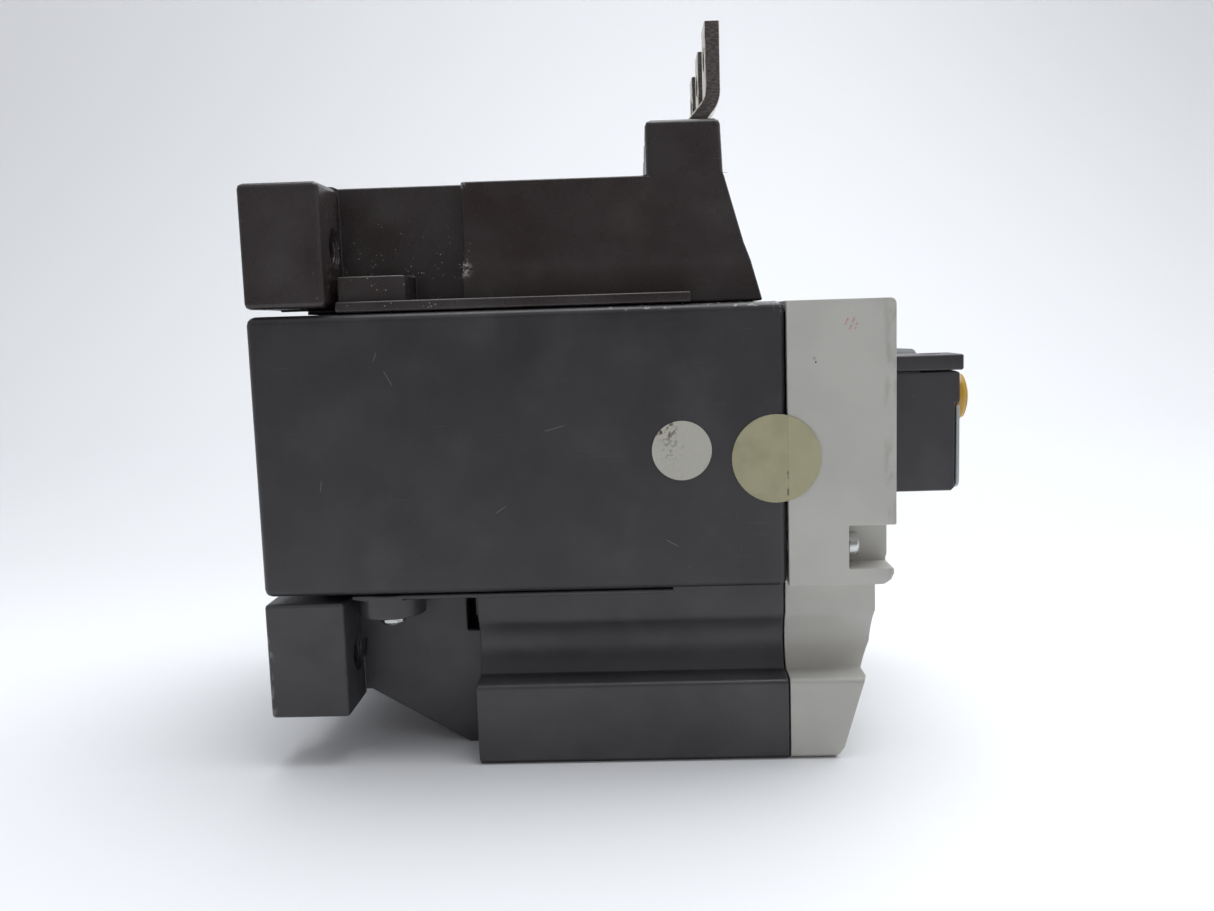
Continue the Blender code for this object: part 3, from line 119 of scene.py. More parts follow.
class Look:
    """One new material's node tree, with short calls for the nodes that the looks share."""

    def __init__(self, name, metallic=0.0, specular=0.5):
        self.material = bpy.data.materials.new(name)
        self.material.use_nodes = True
        self.tree = self.material.node_tree
        self.shader = self.tree.nodes["Principled BSDF"]
        self.shader.inputs["Metallic"].default_value = metallic
        self.shader.inputs["Specular IOR Level"].default_value = specular
        self.place = self.node("ShaderNodeTexCoord").outputs["Object"]
        split = self.node("ShaderNodeSeparateXYZ", {"Vector": self.place})
        self.axes = {axis: split.outputs[axis] for axis in "XYZ"}

    def node(self, kind, inputs=(), **settings):
        made = self.tree.nodes.new(kind)
        for name, value in settings.items():
            setattr(made, name, value)
        for name, value in dict(inputs).items():
            self.set(made.inputs[name], value)
        return made

    def set(self, socket, value):
        if isinstance(value, bpy.types.NodeSocket):
            self.tree.links.new(value, socket)
        elif isinstance(value, tuple) and len(value) == 3 and socket.type == "RGBA":
            socket.default_value = (*value, 1.0)
        else:
            socket.default_value = value

    def moved(self, shift, stretch=(1.0, 1.0, 1.0)):
        """The place, scaled along each axis and moved, so that two patterns don't coincide."""
        made = self.node("ShaderNodeMapping",
                         {"Vector": self.place, "Scale": stretch, "Location": (shift, shift, shift)})
        return made.outputs[0]

    def noise(self, size, detail=3.0, stretch=(1.0, 1.0, 1.0), shift=0.0):
        """Noise from 0 to 1 whose features are about size metres across."""
        made = self.node("ShaderNodeTexNoise",
                         {"Vector": self.moved(shift, stretch), "Scale": 1 / size, "Detail": detail})
        return made.outputs["Fac"]

    def cells(self, size, shift=0.0):
        """Distance to the nearest of scattered points that lie about size metres apart."""
        made = self.node("ShaderNodeTexVoronoi", {"Vector": self.moved(shift), "Scale": 1 / size})
        return made.outputs["Distance"]

    def ramp(self, value, start, end, low=0.0, high=1.0):
        """low where value is at start, high where it is at end, and smooth between them."""
        made = self.node("ShaderNodeMapRange", {"Value": value, 1: start, 2: end, 3: low, 4: high},
                         interpolation_type="SMOOTHSTEP")
        return made.outputs["Result"]

    def math(self, operation, a, b=0.0):
        return self.node("ShaderNodeMath", {0: a, 1: b}, operation=operation).outputs[0]

    def product(self, *values):
        result = values[0]
        for value in values[1:]:
            result = self.math("MULTIPLY", result, value)
        return result

    def inside(self, axis, low, high, soft):
        """1 between low and high along an axis, fading out over soft metres."""
        return self.product(self.ramp(self.axes[axis], low - soft, low),
                            self.ramp(self.axes[axis], high + soft, high))

    def near(self, centre, radius, soft):
        """1 within radius of a point (x, f, z), fading out over soft metres."""
        point = Vector((centre[0], -centre[1], centre[2]))
        away = self.node("ShaderNodeVectorMath", {0: self.place, 1: point}, operation="DISTANCE")
        return self.ramp(away.outputs["Value"], radius + soft, radius)

    def on_left(self):
        """1 on the wall that faces -X, and 0 elsewhere."""
        return self.ramp(self.axes["X"], SIDE + 1.0 * MM, SIDE + 0.4 * MM)

    def stroke(self, f, z, length, width, angle):
        """1 along a thin line on the left wall about (f, z), leaning by angle degrees from upright."""
        lean = math.radians(angle)
        back = self.math("ADD", self.axes["Y"], f)
        up = self.math("ADD", self.axes["Z"], -z)
        along = self.math("ADD", self.product(back, -math.sin(lean)), self.product(up, math.cos(lean)))
        across = self.math("ADD", self.product(back, math.cos(lean)), self.product(up, math.sin(lean)))
        ends = self.ramp(self.math("ABSOLUTE", along), length / 2, length / 3)
        sides = self.ramp(self.math("ABSOLUTE", across), width, width / 4)
        return self.product(ends, sides, self.on_left())

    def mix(self, factor, a, b):
        made = self.node("ShaderNodeMix", data_type="RGBA")
        for index, value in ((0, factor), (6, a), (7, b)):
            self.set(made.inputs[index], value)
        return made.outputs[2]

    def bump(self, *heights):
        """Bumps from (height, depth in metres) pairs."""
        normal = None
        for height, depth in heights:
            made = self.node("ShaderNodeBump", {"Height": height, "Distance": depth, "Strength": 1.0})
            if normal is not None:
                self.set(made.inputs["Normal"], normal)
            normal = made.outputs[0]
        self.set(self.shader.inputs["Normal"], normal)

    def finish(self, color, roughness):
        self.set(self.shader.inputs["Base Color"], color)
        self.set(self.shader.inputs["Roughness"], roughness)
        return self.material


def moulding(name, color, blotch, roughness, dust=DUST, dusty=0.5, grain=0.010 * MM, marks=None):
    """Moulded plastic: a blotchy colour, dust in spots, fine grain and a faint unevenness of the surface."""
    look = Look(name)
    broad = look.noise(22 * MM, 4.0)
    cloudy = look.noise(7 * MM, 5.0, shift=3.1)
    tone = look.mix(look.ramp(broad, 0.35, 0.68), color, blotch)
    specks = look.product(look.ramp(look.cells(2.6 * MM), 0.055, 0.02), look.ramp(cloudy, 0.50, 0.68), dusty)
    haze = look.product(look.ramp(look.noise(14 * MM, 6.0, shift=7.7), 0.48, 0.80), 0.10 * dusty)
    tone = look.mix(look.math("MAXIMUM", specks, haze), tone, dust)
    rough = look.math("ADD", look.ramp(cloudy, 0.3, 0.7, roughness - 0.05, roughness + 0.06),
                      look.product(specks, 0.3))
    if marks:
        tone, rough = marks(look, tone, rough)
    look.bump((look.noise(0.35 * MM, 2.0), grain), (look.noise(24 * MM, 1.0, shift=1.3), 0.10 * MM))
    return look.finish(tone, rough)


def scratches(look, tone, rough, amount=0.35):
    """Hairline scratches in two directions."""
    lines = [look.ramp(look.noise(9 * MM, 1.0, stretch, shift), 0.70, 0.80)
             for stretch, shift in (((1.0, 1.2, 42.0), 5.0), ((1.0, 36.0, 1.4), 9.0))]
    patches = look.ramp(look.noise(18 * MM, 2.0, shift=2.2), 0.46, 0.62)
    mask = look.product(look.math("MAXIMUM", *lines), patches, amount)
    return look.mix(mask, tone, HAIRLINE), look.math("ADD", rough, look.product(mask, 0.25))


def body_marks(look, tone, rough):
    """Scratches, and pale nicks at the top front corner and edge of the body's walls."""
    tone, rough = scratches(look, tone, rough, 0.2)
    for f, z, length, angle in SCRATCHES:
        line = look.stroke(f * MM, z * MM, length * MM, SCRATCH_WIDTH, angle)
        tone = look.mix(look.product(line, 0.45), tone, SCRATCHED)
    worn = look.ramp(look.noise(0.8 * MM, 3.0), 0.54, 0.62)
    corner = look.product(look.near((SIDE, BODY_FRONT, BODY_TOP), 1.0 * MM, 2.2 * MM), worn)
    rim = look.product(look.inside("Z", BODY_TOP - 0.7 * MM, BODY_TOP, 0.5 * MM),
                       look.inside("Y", -BODY_FRONT, 30 * MM - BODY_FRONT, 14 * MM),
                       look.ramp(look.noise(1.1 * MM, 4.0, (1, 0.6, 1), 2.0), 0.60, 0.66), 0.7)
    return look.mix(look.math("MAXIMUM", corner, rim), tone, NICKED), rough


def block_marks(look, tone, rough):
    """Dust gathered low in the recesses behind the upper block, and nicks at its left rear corners."""
    tone, rough = scratches(look, tone, rough, 0.15)
    recess = look.product(look.inside("Y", -45 * MM, -17 * MM, 3 * MM),
                          look.inside("Z", BODY_TOP, BODY_TOP + 14 * MM, 9 * MM))
    dust = look.product(recess, look.ramp(look.cells(0.9 * MM, 2.0), 0.20, 0.10),
                        look.ramp(look.noise(2.2 * MM, 3.0, shift=8.0), 0.52, 0.60), 0.9)
    corners = look.math("MAXIMUM",
                        look.near((0.76 * SIDE, 45 * MM, BODY_TOP + 27 * MM), 0.4 * MM, 1.2 * MM),
                        look.near((0.84 * SIDE, 45 * MM, BODY_TOP + 9 * MM), 0.8 * MM, 2.0 * MM))
    nicks = look.product(corners, look.ramp(look.noise(0.7 * MM, 3.0, shift=3.0), 0.46, 0.56), 0.8)
    return look.mix(look.math("MAXIMUM", dust, nicks), tone, THICK_DUST), rough


def foot_marks(look, tone, rough):
    """Scuffs on the lower feet's rear faces."""
    tone, rough = scratches(look, tone, rough, 0.15)
    low = face("lower_housing", 0, 2) + 12 * MM
    edge = look.product(look.inside("Y", -0.5 * MM, 1 * MM, 1.2 * MM),
                        look.inside("Z", low, low + 16 * MM, 4 * MM))
    rub = look.product(edge, look.ramp(look.noise(1.1 * MM, 5.0, (1, 1, 0.45)), 0.52, 0.62), 0.6)
    return look.mix(rub, tone, RUBBED), look.math("ADD", rough, look.product(rub, 0.2))


def cover_marks(look, tone, rough):
    """On the cover's left wall: pen strokes, grime along the front edge, and a black speck."""
    for f, z, length in PEN_STROKES:
        pen = look.product(look.stroke(f * MM, z * MM, length * MM, PEN_WIDTH, PEN_LEAN),
                           look.ramp(look.noise(0.6 * MM, 2.0), 0.36, 0.56), 0.7)
        tone = look.mix(pen, tone, PEN_INK)
    grime = look.product(look.inside("Y", -COVER_FRONT, 1.6 * MM - COVER_FRONT, 1.6 * MM),
                         look.ramp(look.noise(2.6 * MM, 5.0, (1, 1, 0.4), 4.0), 0.48, 0.66),
                         look.on_left(), 0.35)
    tone = look.mix(grime, tone, GRIME)
    smear = look.product(look.near((SIDE, 118.2 * MM, 18.0 * MM), 0.10 * MM, 0.5 * MM), 0.3)
    speck = look.math("MAXIMUM", look.near((SIDE, 118.5 * MM, 17.2 * MM), 0.12 * MM, 0.14 * MM), smear)
    return look.mix(speck, tone, SPECK_BLACK), rough


def metal(name, color, stain, roughness, brushed=(1.0, 1.0, 6.0)):
    """Bare metal with cloudy stains and fine brushed lines."""
    look = Look(name, metallic=1.0)
    cloudy = look.noise(3 * MM, 5.0, shift=1.7)
    lines = look.noise(1.2 * MM, 3.0, brushed)
    tone = look.mix(look.ramp(cloudy, 0.40, 0.75), color, stain)
    look.bump((lines, 0.006 * MM))
    return look.finish(tone, look.ramp(lines, 0.2, 0.8, roughness - 0.06, roughness + 0.10))


def lug_metal():
    """Tinned bar whose sheared sides, those that face along x, are dark and rough."""
    look = Look("tinned_bar_look")
    facing = look.node("ShaderNodeTexCoord").outputs["Normal"]
    across = look.node("ShaderNodeSeparateXYZ", {"Vector": facing}).outputs["X"]
    sheared = look.ramp(look.math("ABSOLUTE", across), 0.55, 0.8)
    cloudy = look.noise(2.5 * MM, 5.0)
    tin = look.mix(look.ramp(cloudy, 0.4, 0.62), (0.86, 0.83, 0.75), (0.62, 0.57, 0.46))
    stain = look.ramp(look.noise(1.3 * MM, 4.0, shift=6.0), 0.60, 0.68)
    tin = look.mix(look.product(stain, 0.6), tin, (0.16, 0.12, 0.08))
    streaks = look.ramp(look.noise(1.1 * MM, 4.0, (1, 1, 4)), 0.35, 0.7)
    cut = look.mix(streaks, (0.060, 0.048, 0.047), (0.15, 0.13, 0.12))
    look.set(look.shader.inputs["Metallic"], look.ramp(sheared, 0.0, 1.0, 0.45, 0.3))
    rough = look.math("ADD", look.ramp(cloudy, 0.3, 0.7, 0.30, 0.42), look.product(sheared, 0.14))
    look.bump((look.noise(0.5 * MM, 3.0, (1, 1, 3)), 0.05 * MM))
    return look.finish(look.mix(sheared, tin, cut), rough)


def paper():
    """White paper label, with a brown smudge at its upper rear edge and faint grey rubbing."""
    low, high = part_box("white_dot")
    x, f, z = (low.x + high.x) / 2, -(low.y + high.y) / 2, (low.z + high.z) / 2
    look = Look("white_label_look", specular=0.3)
    fibres = look.noise(0.5 * MM, 4.0)
    tone = look.mix(fibres, (0.47, 0.465, 0.40), (0.56, 0.55, 0.48))
    smudge = look.product(look.near((x, f - 3.4 * MM, z + 4.6 * MM), 1.0 * MM, 2.2 * MM),
                          look.ramp(look.noise(0.9 * MM, 4.0), 0.45, 0.58))
    tone = look.mix(smudge, tone, (0.10, 0.065, 0.03))
    rubbed = look.product(look.near((x, f - 2.2 * MM, z + 0.2 * MM), 1.4 * MM, 2.0 * MM),
                          look.ramp(look.noise(0.7 * MM, 2.0, shift=4.0), 0.56, 0.62), 0.5)
    tone = look.mix(rubbed, tone, (0.13, 0.12, 0.13))
    look.bump((fibres, 0.02 * MM))
    return look.finish(tone, 0.62)


def film():
    """Beige film label, paler over the grey cover, with the seam under it showing as a broken line."""
    look = Look("beige_label_look", specular=0.4)
    cloudy = look.noise(4 * MM, 4.0)
    tone = look.mix(look.ramp(cloudy, 0.3, 0.7), (0.37, 0.345, 0.215), (0.42, 0.395, 0.25))
    ahead = look.inside("Y", -(BODY_FRONT + 20 * MM), -BODY_FRONT, 0.3 * MM)
    tone = look.mix(look.product(ahead, 0.35), tone, (0.48, 0.45, 0.285))
    seam = look.inside("Y", -BODY_FRONT - 0.35 * MM, -BODY_FRONT - 0.05 * MM, 0.12 * MM)
    broken = look.ramp(look.noise(3.2 * MM, 2.0, shift=1.0), 0.55, 0.62, 0.12, 0.85)
    tone = look.mix(look.product(seam, broken), tone, (0.12, 0.11, 0.08))
    look.bump((look.noise(0.6 * MM, 3.0), 0.015 * MM), (seam, -0.03 * MM))
    return look.finish(tone, 0.42)


LOOKS = {
    "black_moulding": moulding("black_moulding_look", (0.024, 0.0215, 0.0240), (0.036, 0.0335, 0.037), 0.33,
                               marks=body_marks),
    "dark_moulding": moulding("dark_moulding_look", (0.025, 0.0165, 0.0160), (0.040, 0.0335, 0.0335), 0.27,
                              dusty=0.6, marks=block_marks),
    "grey_moulding": moulding("grey_moulding_look", (0.50, 0.49, 0.455), (0.55, 0.54, 0.50), 0.42,
                              dust=GRIME, dusty=0.35, grain=0.02 * MM, marks=cover_marks),
    "handle_black": moulding("handle_black_look", (0.030, 0.027, 0.030), (0.042, 0.038, 0.041), 0.38,
                             marks=scratches),
    "plate_grey": moulding("plate_grey_look", (0.36, 0.385, 0.385), (0.41, 0.43, 0.43), 0.38, dusty=0.3),
    "yellow_cap": moulding("yellow_cap_look", (0.52, 0.29, 0.03), (0.58, 0.35, 0.05), 0.28, dusty=0.2),
    "button_grey": moulding("button_grey_look", (0.050, 0.055, 0.062), (0.068, 0.073, 0.080), 0.46),
    "natural_moulding": moulding("natural_moulding_look", (0.50, 0.45, 0.34), (0.57, 0.52, 0.42), 0.5),
    "zinc_screw": metal("zinc_screw_look", (0.60, 0.61, 0.59), (0.42, 0.42, 0.38), 0.30, (1, 1, 1)),
    "copper": metal("copper_look", (0.72, 0.36, 0.20), (0.45, 0.20, 0.11), 0.30),
    "steel": metal("steel_look", (0.45, 0.46, 0.47), (0.30, 0.29, 0.28), 0.34),
    "tinned_bar": lug_metal(),
    "white_label": paper(),
    "beige_label": film(),
}
# The lower housing's moulding: the black moulding made lighter as a painted reflection of the pale floor,
# with real scuffs on the feet's rear faces.
FOOT_SCUFFS_AND_PAINTED_REFLECTION_LOOK = moulding("foot_moulding_scuffs_and_painted_reflection_look", (0.040, 0.0375, 0.0410), (0.058, 0.0555, 0.059), 0.36,
                     marks=foot_marks)

for node, thing in frame["nodes"].items():
    thing.data.materials.clear()
    thing.data.materials.append(LOOKS[NODE_SLOT[node]])


# ---------------------------------------------------------------- pieces

SMOOTH_SHARP = 50              # degrees between faces, from which an edge is rounded
JOIN_WITHIN = 0.002 * MM
FLAT_WITHIN = 1.0              # degrees between faces that become one again


def attach(piece, *nodes, look=None):
    """Make a piece stand for its CAD nodes, ride with them, and take their finish."""
    piece.data.materials.clear()
    piece.data.materials.append(look or LOOKS[NODE_SLOT[nodes[0]]])
    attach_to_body(piece, NODE_BODY[nodes[0]])
    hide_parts(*nodes)
    return piece


def smooth(piece, width, segments=3):
    """Round a piece's edges, and shade it smooth."""
    edges = piece.modifiers.new("edges", "BEVEL")
    edges.width = width
    edges.segments = segments
    edges.limit_method = "ANGLE"
    edges.angle_limit = math.radians(SMOOTH_SHARP)
    edges.use_clamp_overlap = False
    edges.miter_outer = "MITER_ARC"
    for polygon in piece.data.polygons:
        polygon.use_smooth = True
    shade = piece.modifiers.new("normals", "WEIGHTED_NORMAL")
    shade.keep_sharp = False
    return piece


def linked(name, made):
    """A new object in the scene from a bmesh, which is used up."""
    mesh = bpy.data.meshes.new(name)
    made.to_mesh(mesh)
    made.free()
    piece = bpy.data.objects.new(name, mesh)
    bpy.context.scene.collection.objects.link(piece)
    return piece


def mesh_piece(name, made):
    """A new piece from a bmesh, with its faces turned outward."""
    bmesh.ops.recalc_face_normals(made, faces=made.faces)
    return linked(name, made)


def from_cad(node):
    """A new piece with a CAD node's shape, its faces joined up again and free to be rounded."""
    made = bmesh.new()
    made.from_mesh(frame["nodes"][node].data)
    bmesh.ops.remove_doubles(made, verts=made.verts, dist=JOIN_WITHIN)
    bmesh.ops.dissolve_limit(made, angle_limit=math.radians(FLAT_WITHIN), verts=made.verts, edges=made.edges)
    return linked(node + "_look", made)


# The radius of each rounded node's edges, in millimetres
ROUNDED = {
    "mid_housing": 0.15,
    "upper_housing": 0.5,
    "lower_housing": 0.35,
    "front_cover": 0.15,
    "rotary_handle": 0.25,
    "lock_slide": 0.25,
    "handle_plate": 0.2,
    "stop_button": 0.3,
    "setting_dial": 0.15,
    "cover_screw_left": 0.12,
    "cover_screw_right": 0.12,
}
# The lower housing takes the lighter moulding, whose colour holds a painted reflection of the floor.
for node, radius in ROUNDED.items():
    attach(smooth(from_cad(node), radius * MM), node, look=FOOT_SCUFFS_AND_PAINTED_REFLECTION_LOOK if node == "lower_housing" else None)


def arc(f, z, radius, first, last, count):
    """Points on an arc about (f, z), from angle first to angle last in degrees."""
    angles = [math.radians(first + (last - first) * i / count) for i in range(count + 1)]
    return [(f + radius * math.cos(a), z + radius * math.sin(a)) for a in angles]


def cut_out(piece, tool):
    """Take a tool's shape out of a piece's own mesh, and remove the tool."""
    change = piece.modifiers.new("cut", "BOOLEAN")
    change.operation = "DIFFERENCE"
    change.solver = "EXACT"
    change.object = tool
    bpy.context.view_layer.update()
    graph = bpy.context.evaluated_depsgraph_get()
    piece.data = bpy.data.meshes.new_from_object(piece.evaluated_get(graph), depsgraph=graph)
    piece.modifiers.clear()
    bpy.data.objects.remove(tool, do_unlink=True)


# ---------------------------------------------------------------- supply lugs

LUG_THICKNESS = 3.2 * MM
LUG_REAR = BODY_FRONT - 20.3 * MM      # the rear face of a lug's lower end, inside its tower
LUG_BEND, LUG_SWING = 5.5 * MM, 40     # the bends' radius on the middle line, and their turn in degrees
LUG_UPRIGHT = 6.2 * MM                 # how far above its tower a lug is still upright
LUG_RISE_STEPS, LUG_BEND_STEPS = 12, 8
LUG_CORNER, LUG_BURR, LUG_EDGE = 0.35 * MM, 0.16 * MM, 0.12 * MM
LUG_HOLE_RADIUS, LUG_HOLE_DROP, LUG_HOLE_SIDES = 2.75 * MM, 7 * MM, 32


def lug_path(front, low, top):
    """The middle line of a lug in (f, z): upright, bent back into its tower, and upright again."""
    outside, inside = front - LUG_THICKNESS / 2, LUG_REAR + LUG_THICKNESS / 2
    swing = math.radians(LUG_SWING)
    start = TOWER_TOP + LUG_UPRIGHT
    slant = (outside - inside - 2 * LUG_BEND * (1 - math.cos(swing))) / math.tan(swing)
    end = start - 2 * LUG_BEND * math.sin(swing) - slant
    rise = [(outside, top - (top - start) * i / LUG_RISE_STEPS) for i in range(LUG_RISE_STEPS)]
    upper = arc(outside - LUG_BEND, start, LUG_BEND, 0, -LUG_SWING, LUG_BEND_STEPS)
    lower = arc(inside + LUG_BEND, end, LUG_BEND, 180 - LUG_SWING, 180, LUG_BEND_STEPS)
    return rise + upper + lower + [(inside, low)]


def lug_section(left, right, ragged):
    """A lug's outline in (x, distance ahead of the middle line), with eased front and ragged rear corners."""
    half, soft = LUG_THICKNESS / 2, LUG_CORNER
    wave = [ragged.uniform(-LUG_BURR, LUG_BURR) for _ in range(2)]
    eased, nibbled = 0.1 * MM, 0.05 * MM
    return [(left + soft, half),
            (left + eased, half - soft * 0.35),
            (left, half - soft),
            (left, soft - half),
            (left + nibbled, -half + eased + abs(wave[0])),
            (left + soft + wave[0], -half),
            (right - soft - wave[1], -half),
            (right - nibbled, -half + eased + abs(wave[1])),
            (right, soft - half),
            (right, half - soft),
            (right - eased, half - soft * 0.35),
            (right - soft, half)]


def bore_tool(x, f, z):
    """The fixing hole's cylinder, along Y through a lug about (x, f, z)."""
    made = bmesh.new()
    place = Matrix.Translation((x, -f, z)) @ Matrix.Rotation(math.pi / 2, 4, "X")
    bmesh.ops.create_cone(made, cap_ends=True, segments=LUG_HOLE_SIDES, radius1=LUG_HOLE_RADIUS,
                          radius2=LUG_HOLE_RADIUS, depth=4 * LUG_THICKNESS, matrix=place)
    return mesh_piece("drill", made)


def make_lug(node, seed):
    """A thick bent strip whose sheared rear corners are ragged, with its fixing hole near the top."""
    ragged = random.Random(seed)
    low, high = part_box(node)
    front = -low.y
    path = lug_path(front, low.z, high.z)
    made = bmesh.new()
    rings = []
    for i, (f, z) in enumerate(path):
        before, after = path[max(i - 1, 0)], path[min(i + 1, len(path) - 1)]
        along = Vector((after[0] - before[0], after[1] - before[1])).normalized()
        ahead = Vector((along.y, -along.x))
        if ahead.x < 0:
            ahead = -ahead
        rings.append([made.verts.new((x, -(f + ahead.x * across), z + ahead.y * across))
                      for x, across in lug_section(low.x, high.x, ragged)])
    for first, second in zip(rings, rings[1:]):
        for i in range(len(first)):
            j = (i + 1) % len(first)
            made.faces.new((first[i], first[j], second[j], second[i]))
    made.faces.new(rings[0])
    made.faces.new(rings[-1][::-1])
    piece = mesh_piece(node + "_look", made)
    cut_out(piece, bore_tool((low.x + high.x) / 2, front - LUG_THICKNESS / 2, high.z - LUG_HOLE_DROP))
    return smooth(piece, LUG_EDGE, 2)


for number in (1, 2, 3):
    attach(make_lug(f"line_bar_{number}", number), f"line_bar_{number}")


# ---------------------------------------------------------------- domed button

DOME_CROWN, DOME_ROLL = 1.6 * MM, 0.9 * MM     # how far the crown stands out, and the roll at its edge
DOME_FLATTENED = 0.8                           # the roll's depth over its breadth
DOME_POINTS, DOME_ROLL_POINTS, DOME_SIDES = 12, 5, 64


def dome_profile(radius, front, rear):
    """The button's outline in (radius, f), from next to the tip to the rear edge."""
    sphere = (radius ** 2 + DOME_CROWN ** 2) / (2 * DOME_CROWN)
    crown = [(radius * i / DOME_POINTS,
              front - sphere + math.sqrt(sphere ** 2 - (radius * i / DOME_POINTS) ** 2))
             for i in range(1, DOME_POINTS)]
    edge = front - DOME_CROWN
    roll = [(radius - DOME_ROLL + DOME_ROLL * math.cos(a),
             edge - DOME_ROLL * DOME_FLATTENED + DOME_ROLL * math.sin(a) * DOME_FLATTENED)
            for a in (math.radians(60 - 15 * i) for i in range(DOME_ROLL_POINTS))]
    return crown + roll + [(radius, rear)]


def make_dome():
    """The yellow button: a cap whose crown rolls over into its side."""
    low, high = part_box("test_button")
    x, z = (low.x + high.x) / 2, (low.z + high.z) / 2
    made = bmesh.new()
    tip = made.verts.new((x, low.y, z))
    rings = []
    for r, f in dome_profile((high.x - low.x) / 2, -low.y, -high.y):
        rings.append([made.verts.new((x + r * math.cos(a), -f, z + r * math.sin(a)))
                      for a in (2 * math.pi * i / DOME_SIDES for i in range(DOME_SIDES))])
    for i in range(DOME_SIDES):
        j = (i + 1) % DOME_SIDES
        made.faces.new((tip, rings[0][i], rings[0][j]))
        for first, second in zip(rings, rings[1:]):
            made.faces.new((first[i], first[j], second[j], second[i]))
    made.faces.new(rings[-1])
    piece = mesh_piece("test_button_look", made)
    for polygon in piece.data.polygons:
        polygon.use_smooth = len(polygon.vertices) < DOME_SIDES
    return piece


attach(make_dome(), "test_button")


# ---------------------------------------------------------------- stage, light and camera

SWEEP_START, SWEEP_RADIUS, SWEEP_TOP, SWEEP_HALF = 0.55, 0.5, 2.2, 3.0
SWEEP_STEPS = 16
# The floor's colour darkens from the front to the back: painted shade.
SWEEP_NEAR, SWEEP_FAR_PAINTED_SHADE = (0.90, 0.91, 0.93), (0.74, 0.75, 0.765)
# How strongly, and in what colour, the backdrop's far part glows: painted light standing in for a lamp on the
# backdrop.
SWEEP_PAINTED_GLOW, SWEEP_PAINTED_GLOW_COLOR = 0.20, (0.94, 0.96, 1.0, 1.0)

OVERHEAD_PLACE, OVERHEAD_TARGET = (0.18, -0.25, 0.85), (0.0, -0.07, 0.0)
OVERHEAD_SIZE, OVERHEAD_POWER, OVERHEAD_COLOR = (1.0, 1.0), 11.0, (0.96, 0.98, 1.0)
SKY, ROOM, WORLD_STRENGTH = (0.93, 0.96, 1.0), (0.46, 0.42, 0.42), 0.50

SENSOR_MM, LENS_MM, CLIP_START = 36.0, 32.62, 0.01
CAMERA_PLACE = (-0.2737, -0.0820, 0.0269)
CAMERA_TURN = (83.04, 1.776, -88.42)           # degrees about x, y and z


def make_sweep():
    """A pale floor that curves up into a wall behind the object, darker towards the back as painted shade,
    its far part glowing as painted light.
    """
    run = [(-SWEEP_HALF, FLOOR), (SWEEP_START, FLOOR)]
    run += [(SWEEP_START + SWEEP_RADIUS * math.sin(a), FLOOR + SWEEP_RADIUS * (1 - math.cos(a)))
            for a in (math.pi / 2 * i / SWEEP_STEPS for i in range(1, SWEEP_STEPS + 1))]
    run.append((SWEEP_START + SWEEP_RADIUS, SWEEP_TOP))
    verts = [(x, y, z) for x, z in run for y in (-SWEEP_HALF, SWEEP_HALF)]
    faces = [(2 * i, 2 * i + 1, 2 * i + 3, 2 * i + 2) for i in range(len(run) - 1)]
    mesh = bpy.data.meshes.new("sweep")
    mesh.from_pydata(verts, [], faces)
    for polygon in mesh.polygons:
        polygon.use_smooth = True
    sweep = bpy.data.objects.new("sweep", mesh)
    bpy.context.scene.collection.objects.link(sweep)
    look = Look("sweep_look", specular=0.2)
    # painted shade: the floor's colour darkens towards the back
    tone = look.mix(look.ramp(look.axes["X"], -0.06, 0.22), SWEEP_NEAR, SWEEP_FAR_PAINTED_SHADE)
    # painted light: the backdrop glows more strongly further back
    look.shader.inputs["Emission Color"].default_value = SWEEP_PAINTED_GLOW_COLOR
    painted_glow = look.ramp(look.axes["X"], 0.25, 1.0, 0.0, SWEEP_PAINTED_GLOW)
    look.set(look.shader.inputs["Emission Strength"], painted_glow)
    mesh.materials.append(look.finish(tone, 0.55))


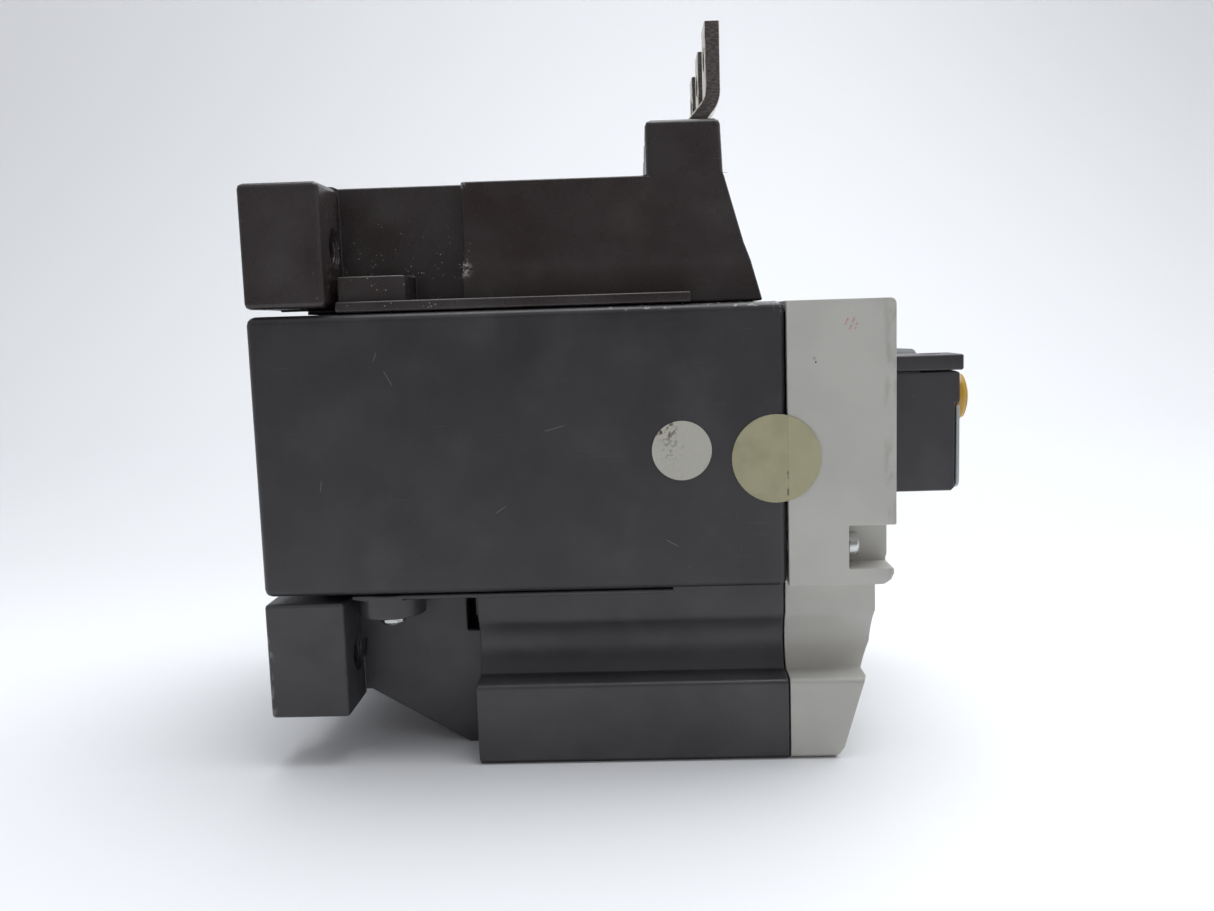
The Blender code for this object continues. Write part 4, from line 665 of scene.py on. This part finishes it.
def make_overhead():
    """A broad soft lamp above the object."""
    lamp = bpy.data.lights.new("overhead", "AREA")
    lamp.shape = "RECTANGLE"
    lamp.size, lamp.size_y = OVERHEAD_SIZE
    lamp.energy = OVERHEAD_POWER
    lamp.color = OVERHEAD_COLOR
    light = bpy.data.objects.new("overhead", lamp)
    light.location = OVERHEAD_PLACE
    aim = Vector(OVERHEAD_TARGET) - Vector(OVERHEAD_PLACE)
    light.rotation_euler = aim.to_track_quat("-Z", "Y").to_euler()
    bpy.context.scene.collection.objects.link(light)


def make_world():
    """A pale sky, and a darker room low towards -X that the left wall mirrors."""
    world = bpy.data.worlds.new("studio")
    world.use_nodes = True
    tree = world.node_tree
    background = tree.nodes["Background"]
    ray = tree.nodes.new("ShaderNodeTexCoord")
    split = tree.nodes.new("ShaderNodeSeparateXYZ")
    tree.links.new(ray.outputs["Generated"], split.inputs[0])
    both = tree.nodes.new("ShaderNodeMath")
    both.operation = "MULTIPLY"
    for socket, (axis, start, end) in zip(both.inputs, (("X", -0.1, -0.6), ("Z", 0.75, 0.35))):
        fade = tree.nodes.new("ShaderNodeMapRange")
        fade.interpolation_type = "SMOOTHSTEP"
        fade.inputs[1].default_value = start
        fade.inputs[2].default_value = end
        tree.links.new(split.outputs[axis], fade.inputs["Value"])
        tree.links.new(fade.outputs["Result"], socket)
    blend = tree.nodes.new("ShaderNodeMix")
    blend.data_type = "RGBA"
    tree.links.new(both.outputs[0], blend.inputs[0])
    blend.inputs[6].default_value = (*SKY, 1.0)
    blend.inputs[7].default_value = (*ROOM, 1.0)
    tree.links.new(blend.outputs[2], background.inputs["Color"])
    background.inputs["Strength"].default_value = WORLD_STRENGTH
    bpy.context.scene.world = world


def make_camera():
    """The camera, close to the object's left side."""
    lens = bpy.data.cameras.new("camera")
    lens.sensor_width = SENSOR_MM
    lens.lens = LENS_MM
    lens.clip_start = CLIP_START
    camera = bpy.data.objects.new("camera", lens)
    camera.location = CAMERA_PLACE
    camera.rotation_euler = Euler([math.radians(a) for a in CAMERA_TURN])
    bpy.context.scene.collection.objects.link(camera)
    bpy.context.scene.camera = camera


make_sweep()
make_overhead()
make_world()
make_camera()
bpy.context.scene.view_settings.view_transform = "Standard"
